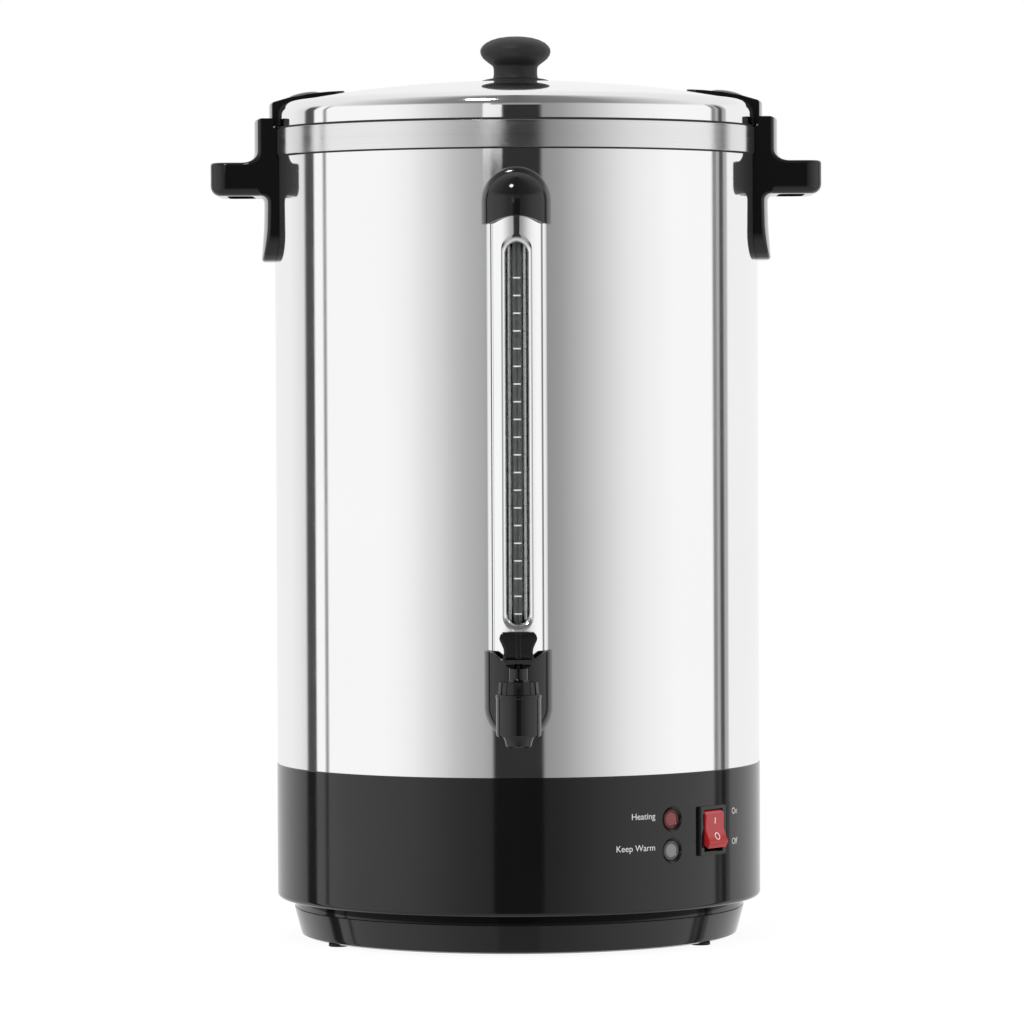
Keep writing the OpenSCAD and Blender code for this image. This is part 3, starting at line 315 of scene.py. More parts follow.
def block(size, middle):
    """A square block, by its size and its middle in mm."""
    shape = bmesh.new()
    made = bmesh.ops.create_cube(shape, size=1.0)["verts"]
    bmesh.ops.scale(shape, vec=Vector(size) * MM, verts=made)
    bmesh.ops.translate(shape, vec=Vector(middle) * MM, verts=made)
    return shape


def moved(shape, matrix):
    """The shape set in its place."""
    bmesh.ops.transform(shape, matrix=matrix, verts=shape.verts)
    return shape


def spun(angle, axis="Z"):
    """A turn about an axis, in degrees."""
    return Matrix.Rotation(math.radians(angle), 4, axis)


def shifted(x, y, z):
    """A shift, in mm."""
    return Matrix.Translation((x * MM, y * MM, z * MM))


def facing_out(angle, radius, z):
    """The place on the base's wall whose axis points straight out at that angle."""
    return spun(angle) @ shifted(radius, 0, z) @ spun(90, "Y")


def true_round(made):
    """Shades a turned wall by its own axis, so that what is cut into it leaves no ripples."""
    mesh = made.data
    made.modifiers.clear()
    normals = [corner.vector.copy() for corner in mesh.corner_normals]
    for face in mesh.polygons:
        outward = Vector((face.center.x, face.center.y, 0)).normalized()
        if face.normal.dot(outward) > math.cos(math.radians(3)):
            for corner in face.loop_indices:
                spot = mesh.vertices[mesh.loops[corner].vertex_index].co
                normals[corner] = Vector((spot.x, spot.y, 0)).normalized()
    mesh.normals_split_custom_set(normals)
    return made


black_gloss = finish("black_gloss", [(0.005, 0.005, 0.0055), (0.009, 0.009, 0.0095)], (0.05, 0.10),
                     160, 0.012, Specular_IOR_Level=0.5)
edge = bow(SKIRT_R - SKIRT_EDGE_R, SKIRT_FOOT + SKIRT_EDGE_R, SKIRT_EDGE_R, 0, -90, 8)
shape = turned([(SPIGOT_R, TANK_FOOT + SPIGOT_H), (SPIGOT_R, TANK_FOOT), (SKIRT_R - 0.5, TANK_FOOT),
                (SKIRT_R, TANK_FOOT - 0.5)] + edge +
               [(SKIRT_HOLE_R, SKIRT_FOOT), (SKIRT_HOLE_R, SKIRT_FOOT + SKIRT_WALL),
                (SKIRT_R - 5, SKIRT_FOOT + SKIRT_WALL), (SKIRT_R - SKIRT_WALL, SKIRT_FOOT + 5),
                (SKIRT_R - SKIRT_WALL, TANK_FOOT - 8), (SPIGOT_R - SPIGOT_WALL, TANK_FOOT - 5),
                (SPIGOT_R - SPIGOT_WALL, TANK_FOOT + SPIGOT_H)], ROUND_STEPS)
hole = block((CUT_LONG, SWITCH_W - 2 * SWITCH_OVERLAP, SWITCH_H - 2 * SWITCH_OVERLAP), (SKIRT_R, 0, SWITCH_Z))
shape = carve(shape, moved(hole, spun(SWITCH_ANGLE)))
LAMP_DISH = [(0, 4), (11.6, 4), (7.8, 0), (6.6, -1.4), (6.2, -1.6), (6.2, -12), (0, -12)]
for height in LAMP_HEIGHTS:
    dish = turned(LAMP_DISH, 64)
    shape = carve(shape, moved(dish, facing_out(LAMP_ANGLE, SKIRT_R, height)))
skirt = true_round(piece("skirt", shape, black_gloss))
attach(skirt, "urn")
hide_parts("base_skirt")


# Plinth and feet
# A smaller black tray closes the base from below, with a neck where it meets the skirt.
# Three rubber feet are pressed into it.
PLINTH_R = 140.0
PLINTH_LOW_R = 136.0
NECK_R = 139.2
NECK_TOP_R = 137.4
NECK_FOOT = SKIRT_FOOT - 5.7
FOOT_H = 2.0
FOOT_CIRCLE = 128.0
FOOT_ANGLES = (-30, -150, 90)
FOOT_SECTION = [(0, FOOT_H), (6, FOOT_H), (6, 0), (3.4, 0), (3.0, 0.8), (0, 0.8)]
shape = turned([(NECK_TOP_R, SKIRT_FOOT), (NECK_R, NECK_FOOT), (PLINTH_R - 0.3, NECK_FOOT),
                (PLINTH_R, NECK_FOOT - 0.4), (PLINTH_LOW_R + 0.2, FOOT_H + 3),
                (PLINTH_LOW_R - 0.5, FOOT_H + 1), (PLINTH_LOW_R - 2.4, FOOT_H),
                (18, FOOT_H), (16, FOOT_H + 8), (3.2, FOOT_H + 8), (3.2, FOOT_H + 10.5),
                (17.5, FOOT_H + 10.5), (20, FOOT_H + 2.5), (PLINTH_LOW_R - 2.5, FOOT_H + 2.5),
                (NECK_TOP_R - 2, SKIRT_FOOT)], ROUND_STEPS)
plinth = piece("plinth", shape, black_gloss)
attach(plinth, "urn")
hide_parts("base_plinth")


def joined(shapes):
    """Several shapes as one."""
    whole = bmesh.new()
    for part in shapes:
        mesh = as_mesh("part", part)
        whole.from_mesh(mesh)
        bpy.data.meshes.remove(mesh)
    return whole


feet = []
for angle in FOOT_ANGLES:
    foot = soften(turned(FOOT_SECTION, 40), width=0.4, segments=2)
    feet.append(moved(foot, spun(angle) @ shifted(FOOT_CIRCLE, 0, 0)))
feet = piece("feet", joined(feet), black_rubber)
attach(feet, "urn")
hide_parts("rubber_feet")


# Rocker switch
# A snap-in switch: a black frame on the skirt, and a clear red rocker marked with a bar
# and a ring. It stands pressed in at the top, which is on.
SWITCH_FRONT = 152.2
SWITCH_BACK = 145.0
BODY_FRONT = 146.0
BODY_BACK = 122.0
WELL_FLOOR = 138.8
PIVOT_R = 146.8
ROCKER_W = 18.0
ROCKER_HALF = 11.5
ROCKER_REACH = 6.6
ROCKER_END = 6.2
ROCKER_LEAN = -10.0
frame_turn = spun(SWITCH_ANGLE)
shape = block((SWITCH_FRONT - SWITCH_BACK, SWITCH_W, SWITCH_H),
              ((SWITCH_FRONT + SWITCH_BACK) / 2, 0, SWITCH_Z))
soften(shape, width=0.9)
inner = block((BODY_FRONT - BODY_BACK, SWITCH_W - 5, SWITCH_H - 5),
              ((BODY_FRONT + BODY_BACK) / 2, 0, SWITCH_Z))
shape = carve(shape, inner, "UNION")
well = block((CUT_LONG, ROCKER_W + 0.5, 2 * ROCKER_HALF + 3), (WELL_FLOOR + CUT_LONG / 2, 0, SWITCH_Z))
switch_frame = piece("switch_frame", moved(carve(shape, well), frame_turn), black_gloss)
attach(switch_frame, "urn")
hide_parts("switch_body")

red_clear = finish("red_clear", [(0.56, 0.012, 0.018), (0.70, 0.03, 0.035)], (0.05, 0.10), 120, 0.01,
                   Transmission_Weight=0.25, IOR=1.55, Coat_Weight=0.2, Coat_Roughness=0.05)
NOSE_Z = 8.6
NOSE_REACH = 8.5
lean_angle = math.atan2(NOSE_REACH - ROCKER_REACH, NOSE_Z)
side_view = [(ROCKER_REACH, 0), (NOSE_REACH, NOSE_Z), (ROCKER_END, ROCKER_HALF + 0.4), (-4, 4), (-4, -4),
             (ROCKER_END, -ROCKER_HALF - 0.4), (NOSE_REACH, -NOSE_Z)]
rocker_place = frame_turn @ shifted(PIVOT_R, 0, SWITCH_Z) @ spun(ROCKER_LEAN, "Y")
shape = pushed([(x, -ROCKER_W / 2, z) for x, z in side_view], (0, ROCKER_W, 0))
soften(shape, width=0.5, angle=25, side="out")
rocker = piece("rocker", moved(shape, rocker_place), red_clear)
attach(rocker, "switch_rocker")
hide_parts("switch_rocker")

white_print = finish("white_print", [(0.84, 0.84, 0.83), (0.92, 0.92, 0.91)], (0.4, 0.6), 300, 0.05)
MARK_Z = 4.9
BAR_SIZE = (0.3, 0.8, 3.8)
RING_SECTION = [(1.75, -0.15), (2.35, -0.15), (2.35, 0.15), (1.75, 0.15)]


def on_rocker(shape, z):
    """A mark laid on the rocker's face, above its middle or below."""
    fold = Matrix.Rotation(math.copysign(lean_angle, z), 4, "Y")
    lay = shifted(ROCKER_REACH, 0, 0) @ fold @ shifted(0, 0, z)
    return moved(shape, rocker_place @ lay)


bar = soften(block(BAR_SIZE, (0, 0, 0)), width=0.08, segments=1)
bar = piece("rocker_bar", on_rocker(bar, MARK_Z), white_print)
ring = moved(turned(RING_SECTION, 40), spun(90, "Y"))
ring = piece("rocker_ring", on_rocker(ring, -MARK_Z), white_print)
for mark in (bar, ring):
    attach(mark, "switch_rocker")


# Lamps
# Two small domed lenses sunk in the skirt: red for heating, clear for keeping warm.
# Each is held from behind by an ivory lamp holder.
red_lens = finish("red_lens", [(0.10, 0.012, 0.014), (0.15, 0.02, 0.022)], (0.10, 0.2), 150, 0.03,
                  Transmission_Weight=0.3, IOR=1.49)
clear_lens = finish("clear_lens", [(0.10, 0.10, 0.095), (0.15, 0.15, 0.14)], (0.10, 0.2), 150, 0.03,
                    Transmission_Weight=0.3, IOR=1.49)
LENS_SET_BACK = 1.2
LENS_SECTION = [(0, -4.0), (6, -4.0), (6, -0.4), (5.7, 0.1), (5.0, 0.4), (4.5, 0.3), (4.2, -0.1), (0, -0.1)]
LENS_FACE_SECTION = [(0, -0.3), (4.1, -0.3), (4.1, -0.05), (3.4, 0.15), (0, 0.35)]
red_face = finish("red_face", [(0.22, 0.04, 0.045), (0.28, 0.06, 0.065)], (0.25, 0.4), 150, 0.03)
clear_face = finish("clear_face", [(0.22, 0.22, 0.215), (0.28, 0.28, 0.27)], (0.25, 0.4), 150, 0.03)
for name, height, rim_finish, face_finish in (("heat", LAMP_HEIGHTS[0], red_lens, red_face),
                                              ("warm", LAMP_HEIGHTS[1], clear_lens, clear_face)):
    seat = facing_out(LAMP_ANGLE, SKIRT_R - LENS_SET_BACK, height)
    lens = piece("lamp_" + name, moved(turned(LENS_SECTION, 64), seat), rim_finish)
    face = piece("lamp_face_" + name, moved(turned(LENS_FACE_SECTION, 64), seat), face_finish)
    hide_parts("lamp_lens_" + name)
    for part in (lens, face):
        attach(part, "urn")


# Printed words
# White words beside the lamps and the switch, printed on the skirt's curved wall:
# two that end beside the lamps, and two that start beside the switch.
WORD_SIZE = 5.4
WORD_LIFT = 0.04
LAMP_WORDS_ANGLE = -57.0
SWITCH_WORDS_ANGLE = -30.3


def printed(words, angle, z, align):
    """Words laid on the skirt's wall, starting or ending at an angle."""
    curve = bpy.data.curves.new("words", "FONT")
    curve.body = words
    curve.size = WORD_SIZE * MM
    curve.align_x = align
    curve.align_y = "CENTER"
    sheet = in_scene("words", curve)
    flat = bpy.data.meshes.new_from_object(sheet.evaluated_get(bpy.context.evaluated_depsgraph_get()))
    bpy.data.curves.remove(curve)
    shape = bmesh.new()
    shape.from_mesh(flat)
    bpy.data.meshes.remove(flat)
    for v in shape.verts:
        around = math.radians(angle) + v.co.x / (SKIRT_R * MM)
        out = (SKIRT_R + WORD_LIFT) * MM
        v.co = (out * math.cos(around), out * math.sin(around), z * MM + v.co.y)
    face_out(shape)
    outward = spun(angle) @ Vector((1, 0, 0))
    if sum(f.normal.dot(outward) for f in shape.faces) < 0:
        bmesh.ops.reverse_faces(shape, faces=shape.faces)
    return shape


for name, words, angle, z, align in (("words_heating", "Heating", LAMP_WORDS_ANGLE, 83.9, "RIGHT"),
                                     ("words_keep_warm", "Keep Warm", LAMP_WORDS_ANGLE, 64.9, "RIGHT"),
                                     ("words_on", "On", SWITCH_WORDS_ANGLE, 82.7, "LEFT"),
                                     ("words_off", "Off", SWITCH_WORDS_ANGLE, 64.2, "LEFT")):
    words = piece(name, printed(words, angle, z, align), white_print)
    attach(words, "urn")


# Cord gland
# A moulded bush at the rear of the skirt, where the mains lead comes in, with a round
# flange outside and a nut inside.
GLAND_Z = 60.0
GLAND_ANGLE = 90.0
shape = turned([(4, -14), (6.5, -14), (6.5, -0.4), (10, -0.4), (10, 5), (8, 5.01), (7.6, 14), (4, 14)], 64)
soften(shape, width=0.6, segments=2)
gland = piece("gland", moved(shape, facing_out(GLAND_ANGLE, SKIRT_R, GLAND_Z)), black_gloss)
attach(gland, "urn")
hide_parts("cord_gland")


# Tap body
# A black moulded barrel with a beaded top and a short tapered spout. Its shank goes
# through the gauge housing and the tank wall.
TAP_Y = -192.0
SPOUT_TOP = 136.7
BARREL_Z = 161.4
BARREL_R = 13.35
BEAD_R = 13.6
SHANK_BACK = -134.0
SHANK_Z = 147.0
tap_place = shifted(0, TAP_Y, 0)
shape = turned([(9, 158), (9, 141), (5, 141), (5, 130.3), (6.6, 130.3), (7.5, 131.0), (8.3, 134.4),
                (9.4, SPOUT_TOP), (12.6, SPOUT_TOP), (BARREL_R, SPOUT_TOP + 0.9), (BARREL_R, 159.2),
                (BEAD_R, 159.6), (BEAD_R, 160.8), (13.1, BARREL_Z), (11.6, BARREL_Z), (11.6, 158)], 128)
shank = moved(turned([(4.5, 0), (8, 0), (8, 30.3), (10, 30.3), (10, 50), (4.5, 50)], 96),
              shifted(0, SHANK_BACK, SHANK_Z) @ spun(90, "X"))
tap = piece("tap", joined([moved(shape, tap_place), shank]), black_gloss)
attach(tap, "urn")
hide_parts("tap_body")


# Tap bonnet
# The screwed cap of the tap, with sixteen flats for the fingers, a groove between
# each two, and a neck that guides the stem.
BONNET_R = 12.4
BONNET_H = 7.4
BONNET_TAPER = 0.94
BONNET_FLATS = 16
FLAT_AND_GROOVE = ((-7.6, 0), (7.6, 0), (9.6, 0.7), (12.9, 0.7))
STEM_HOLE_R = 2.55
flats = []
for i in range(BONNET_FLATS):
    for lean, deep in FLAT_AND_GROOVE:
        turn = math.radians(360 / BONNET_FLATS * i + lean)
        reach = BONNET_R - deep
        flats.append((reach * math.cos(turn), reach * math.sin(turn), BARREL_Z + 0.05))
shape = pushed(flats, (0, 0, BONNET_H))
for v in shape.verts:
    if v.co.z > (BARREL_Z + 1) * MM:
        v.co.x *= BONNET_TAPER
        v.co.y *= BONNET_TAPER
soften(shape, width=0.3, segments=2, angle=20, side="out")
neck = turned([(STEM_HOLE_R, 157), (8.95, 157), (8.95, 162), (7.5, 168.4), (6.2, 169.2), (5.5, 170.4),
               (5.5, 176.6), (5.1, 177), (STEM_HOLE_R, 177)], 64)
shape = carve(shape, turned([(0, 150), (STEM_HOLE_R, 150), (STEM_HOLE_R, 190), (0, 190)], 64))
shape = joined([shape, neck])
bonnet = piece("bonnet", moved(shape, tap_place), black_gloss)
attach(bonnet, "urn")
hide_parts("tap_bonnet")


# Tap lever
# The black finger lever on top of the tap, waisted, with a rib down its front. Its heel is
# a cam that rolls on the bonnet's neck and pulls the stem up.
PIVOT_Z = 181.55
LEVER_TOP = 16.85
LEVER_HALF = [(4.4, -8), (5.4, -4.5), (7.9, -2.4), (9.2, 0.4), (8.9, 2.8), (8.5, 4.8), (8.8, 7.2),
              (9.9, 9.8), (10.9, 11.8), (11.2, 13.2), (10.6, 15.2), (8.8, 17.2), (5, 19)]
front_view = LEVER_HALF + [(-x, z) for x, z in reversed(LEVER_HALF)]
CROWN_W = 1.9
CROWN_RISE = 0.7
HEEL = 4.5
STEM_LIFT = 4.0
LEVER_SWING = 60.0
CAM_SWEEP = 64.0
CAM_STEPS = 6
RIB_HALF = 1.8
RIB_RISE = 0.9
SLOT_HALF = 2.15
SLOT_R = 3.3
FAR = 60.0
cam_rise = STEM_LIFT / math.radians(LEVER_SWING)
cam = []
for i in range(CAM_STEPS + 1):
    turn = math.radians(CAM_SWEEP) * i / CAM_STEPS
    reach = HEEL + cam_rise * turn
    cam.append((-reach * math.sin(turn) - cam_rise * math.cos(turn),
                -reach * math.cos(turn) + cam_rise * math.sin(turn)))
front = cam[-1][0]
side_view = [(HEEL, -HEEL)] + cam + [(front, 3), (front + 3, LEVER_TOP), (2.25, LEVER_TOP), (HEEL, HEEL)]
shape = pushed([(x, 40, z) for x, z in front_view], (0, -80, 0))
shape = carve(shape, pushed([(-30, y, z) for y, z in side_view], (60, 0, 0)), "INTERSECT")
shape.normal_update()
face_front = [f for f in shape.faces if f.normal.y < -0.9 and f.calc_center_median().z > 0]
bmesh.ops.inset_region(shape, faces=face_front, thickness=CROWN_W * MM, depth=CROWN_RISE * MM,
                       use_boundary=True, use_even_offset=True)
soften(shape, width=0.7, angle=45)
gap = [(SLOT_R, 0), (SLOT_R, -FAR), (-FAR, -FAR), (-FAR, -34.64), (-1.65, 2.86)]
gap += bow(0, 0, SLOT_R, 120, 0, 8)[1:-1]
shape = carve(shape, pushed([(-SLOT_HALF, y, z) for y, z in gap], (2 * SLOT_HALF, 0, 0)))
rib_top = LEVER_TOP - 0.5
rib = [(front - RIB_RISE, 1), (front - RIB_RISE, 3), (front + 3 - RIB_RISE, rib_top), (front + 4, rib_top),
       (front + 1, 1)]
rib = soften(pushed([(-RIB_HALF, y, z) for y, z in rib], (2 * RIB_HALF, 0, 0)), width=0.9, segments=4)
shape = joined([shape, rib])
lever = piece("lever", moved(shape, shifted(0, TAP_Y, PIVOT_Z)), black_gloss)
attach(lever, "tap_lever")
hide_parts("tap_lever")


# Gauge housing
# A black moulded cup behind the tap. It covers the tap's shank and the foot of the gauge,
# and its open top is scooped out in front.
HOUSING_R = 20.3
HOUSING_Y = -157.7
HOUSING_MID = 152.3
HOUSING_TOP = 185.7
HOUSING_WALL = 2.0
HOUSING_DIP = -7.7
DIP_WIDTH = 0.84
DIP_POWER = 1.2


def look_to_front(shape):
    """Turns a sheet's faces so that they look to the front."""
    face_out(shape)
    if sum(f.normal.y for f in shape.faces) > 0:
        bmesh.ops.reverse_faces(shape, faces=shape.faces)


def round_shell(radius, y, mid, end, wall, dip):
    """A round-ended shell against the tank: a quarter ball, drawn out to its open end and to the tank.
    The open end's rim rises or falls by dip at its middle."""
    shape = bmesh.new()
    bmesh.ops.create_uvsphere(shape, u_segments=72, v_segments=48, radius=radius * MM)
    out = math.copysign(1, end - mid)
    for way in ((0, 0, out), (0, 1, 0)):
        bmesh.ops.bisect_plane(shape, geom=shape.verts[:] + shape.edges[:] + shape.faces[:], dist=1e-7,
                               plane_co=(0, 0, 0), plane_no=way, clear_outer=True)
    rim = [e for e in shape.edges if e.is_boundary and all(abs(v.co.z) < 1e-6 for v in e.verts)]
    steps = 8
    for _ in range(steps):
        grown = bmesh.ops.extrude_edge_only(shape, edges=rim)["geom"]
        lifted = [v for v in grown if isinstance(v, bmesh.types.BMVert)]
        rim = [e for e in grown if isinstance(e, bmesh.types.BMEdge) and all(v in lifted for v in e.verts)]
        bmesh.ops.translate(shape, verts=lifted, vec=(0, 0, (end - mid) * MM / steps))
    for v in shape.verts:
        share = max(0.0, v.co.z / ((end - mid) * MM))
        across = max(0.0, 1 - (v.co.x / (DIP_WIDTH * radius * MM)) ** 2) ** DIP_POWER
        v.co.z += dip * MM * share * share * across
    back = [e for e in shape.edges if e.is_boundary and all(abs(v.co.y) < 1e-6 for v in e.verts)]
    grown = bmesh.ops.extrude_edge_only(shape, edges=back)["geom"]
    drawn = [v for v in grown if isinstance(v, bmesh.types.BMVert)]
    moved(shape, shifted(0, y, mid))
    for v in drawn:
        v.co.y = -math.sqrt((TANK_R * MM) ** 2 - v.co.x ** 2) - 0.1 * MM
    look_to_front(shape)
    bmesh.ops.solidify(shape, geom=shape.faces[:], thickness=wall * MM)
    face_out(shape)
    soften(shape, width=0.5, segments=2, angle=50)
    return shape


shape = round_shell(HOUSING_R, HOUSING_Y, HOUSING_MID, HOUSING_TOP, HOUSING_WALL, HOUSING_DIP)
housing = piece("housing", shape, black_gloss)
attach(housing, "urn")
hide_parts("gauge_housing")


# Gauge cover
# A channel of polished steel over the gauge tube, with a long round-ended window.
# The window's edge is rolled inwards.
COVER_R = 18.0
COVER_Y = -154.0
COVER_LOW = 178.0
COVER_HIGH = 447.2
COVER_BACK = -138.0
COVER_WALL = 1.0
WINDOW_LOW = 197.0
WINDOW_HIGH = 432.6
WINDOW_W = 18.3
LIP_W = 2.6
LIP_DEEP = 3.2
LIP_END = 1.8
LIP_T = 0.6
LIP_STEPS = 6


def slot(width, low, high, count=16):
    """The outline of an upright round-ended slot, as (x, z) points."""
    r = width / 2
    return bow(0, high - r, r, 0, 180, count) + bow(0, low + r, r, 180, 360, count)


inner_r = COVER_R - COVER_WALL
outline = [(COVER_R, COVER_BACK)] + bow(0, COVER_Y, COVER_R, 0, -180, 72) + [(-COVER_R, COVER_BACK)]
inside = [(-inner_r, COVER_BACK)] + bow(0, COVER_Y, inner_r, -180, 0, 72) + [(inner_r, COVER_BACK)]
shape = pushed([(x, y, COVER_LOW) for x, y in outline + inside], (0, 0, COVER_HIGH - COVER_LOW))
window = pushed([(x, COVER_Y, z) for x, z in slot(WINDOW_W, WINDOW_LOW, WINDOW_HIGH)], (0, -60, 0))
shape = carve(shape, window)
shape = carve(shape, turned([(0, 100), (TANK_R + 0.1, 100), (TANK_R + 0.1, 520), (0, 520)], ROUND_STEPS))
cover = piece("gauge_channel", shape, polished_steel)
shape = bmesh.new()
loops = []
for i in range(LIP_STEPS + 1):
    bend = math.radians(90) * i / LIP_STEPS
    inset = LIP_W * math.sin(bend)
    deep = LIP_DEEP * (1 - math.cos(bend))
    loop = []
    end = LIP_END * inset
    for x, z in slot(WINDOW_W - 2 * inset - 0.3, WINDOW_LOW + end, WINDOW_HIGH - end):
        wide = x * (WINDOW_W / (WINDOW_W - 2 * inset))
        y = COVER_Y - math.sqrt(COVER_R ** 2 - wide ** 2) + deep
        loop.append(shape.verts.new((x * MM, y * MM, z * MM)))
    loops.append([shape.edges.new(pair) for pair in zip(loop, loop[1:] + loop[:1])])
for first, second in zip(loops, loops[1:]):
    bmesh.ops.bridge_loops(shape, edges=first + second)
look_to_front(shape)
bmesh.ops.solidify(shape, geom=shape.faces[:], thickness=LIP_T * MM)
lip = piece("window_lip", shape, polished_steel, crease=60)
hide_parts("gauge_cover")
for part in (cover, lip):
    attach(part, "urn")


# Gauge hood
# The black cap over the head of the gauge, round on top and arched at its lower edge.
# One screw from inside the tank holds it.
HOOD_R = 20.8
HOOD_MID = 452.4
HOOD_END = 439.0
HOOD_WALL = 2.5
HOOD_ARCH = 4.6
hood = piece("hood", round_shell(HOOD_R, COVER_Y, HOOD_MID, HOOD_END, HOOD_WALL, HOOD_ARCH), black_gloss)
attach(hood, "urn")
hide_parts("gauge_hood")


# Gauge tube
# A plain glass tube in soft seals, with a ladder of short white lines printed on its front
# and a pale grey stripe up its back, which makes the middle of the tube look mid-grey.
TUBE_Y = -160.0
TUBE_R = 5.75
TUBE_BORE_R = 4.25
TUBE_LOW = 163.0
TUBE_HIGH = 454.9
PRINT_IN = 5.76
PRINT_OUT = 5.86
LINE_COUNT = 20
LINE_TOP = 407.0
LINE_STEP = 10.49
LINE_HALF = 0.42
LINE_SWEEP = 45.0
STRIPE_LOW = 166.0
STRIPE_HIGH = 452.0
STRIPE_SWEEP = 62.0
tube_place = shifted(0, TUBE_Y, 0)
gauge_glass = finish("gauge_glass", [(0.90, 0.93, 0.92), (0.96, 0.97, 0.97)], (0.01, 0.04), 60, 0.005,
                     Transmission_Weight=1.0, IOR=1.47)


def tube_wall(inner, outer, low, high, steps, sweep=360.0):
    """A piece of tube wall, by its radii, its heights and how far it goes round."""
    return turned([(inner, low), (outer, low), (outer, high), (inner, high)], steps, sweep)


shape = tube_wall(TUBE_BORE_R, TUBE_R, TUBE_LOW, TUBE_HIGH, 96)
tube = piece("tube", moved(shape, tube_place), gauge_glass)
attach(tube, "urn")
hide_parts("gauge_tube")
ticks = []
for i in range(LINE_COUNT):
    z = LINE_TOP - LINE_STEP * i
    tick = tube_wall(PRINT_IN, PRINT_OUT, z - LINE_HALF, z + LINE_HALF, 10, LINE_SWEEP)
    ticks.append(moved(tick, tube_place @ spun(-90)))
ticks = piece("tube_lines", joined(ticks), white_print)
stripe_grey = finish("stripe_grey", [(0.82, 0.82, 0.83), (0.9, 0.9, 0.91)], (0.5, 0.7), 200, 0.03)
shape = tube_wall(PRINT_IN, PRINT_OUT, STRIPE_LOW, STRIPE_HIGH, 16, STRIPE_SWEEP)
stripe = piece("tube_stripe", moved(shape, tube_place @ spun(90)), stripe_grey)
for mark in (ticks, stripe):
    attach(mark, "urn")


# Side handles
# Two black mouldings screwed to the tank from inside: an upright bracket whose foot flares out,
# a looped grip, and a head with a pocket that the foot of the lid's lug locks into.
HANDLE_HALF = 35.0
HANDLE_TOP = 508.1
HANDLE_FOOT = 420.2
GRIP_X = 188.6
GRIP_LOW = 460.5
GRIP_HIGH = 481.0
HEAD_R = 162.4
WALL_R = 156.5
SEAT_R = 150.1
GRIP_ROOT_R = 155.0
STRAIGHT_R = 172.0
CUT_IN_R = 149.0
CUT_TOP = 512.0
BAND_CLEAR_R = 151.4
BAND_CLEAR_Z = 484.2
LID_CLEAR_R = 153.5
POCKET_Z = 502.2
POCKET_R = 159.7
UNDERCUT_R = 158.7
UNDERCUT_TOP = 506.2
FOOT_ROUND = 20.0
TIP_ROUND = 10.0
EDGE_ROUND = 1.8
GRIP_UNDER_ROUND = 6.0
GAP_INNER = HEAD_R + 6.3
GAP_OUTER = 173.0
GAP_HALF = HANDLE_HALF - 9.5
GAP_ROUND = 6.0


def sector(outline, first, last, steps=24):
    """A piece of a ring, from an outline of (radius, height) points, between two angles."""
    return moved(turned(outline, steps, last - first), spun((first + last) / 2))


def round_edges(shape, width, segments, chosen):
    """Rounds the edges whose two ends both pass the test."""
    edges = [e for e in shape.edges if all(chosen(v.co / MM) for v in e.verts)]
    bevel(shape, edges, width, segments)
    bmesh.ops.remove_doubles(shape, verts=shape.verts, dist=1e-6)
    return shape


def wrapped(shape, half, straight, curved):
    """A straight shape cut in strips and bent round the tank, fully at the curved radius and not at
    all at the straight one."""
    for i in range(-7, 8):
        bmesh.ops.bisect_plane(shape, geom=shape.verts[:] + shape.edges[:] + shape.faces[:], dist=1e-6,
                               plane_co=(0, half * MM * i / 8, 0), plane_no=(0, 1, 0))
    for v in shape.verts:
        r, y = v.co.x, v.co.y
        share = min(1.0, max(0.0, (r / MM - straight) / (curved - straight)))
        v.co.x += share * (math.sqrt(r * r - y * y) - r)
    face_out(shape)
    return shape


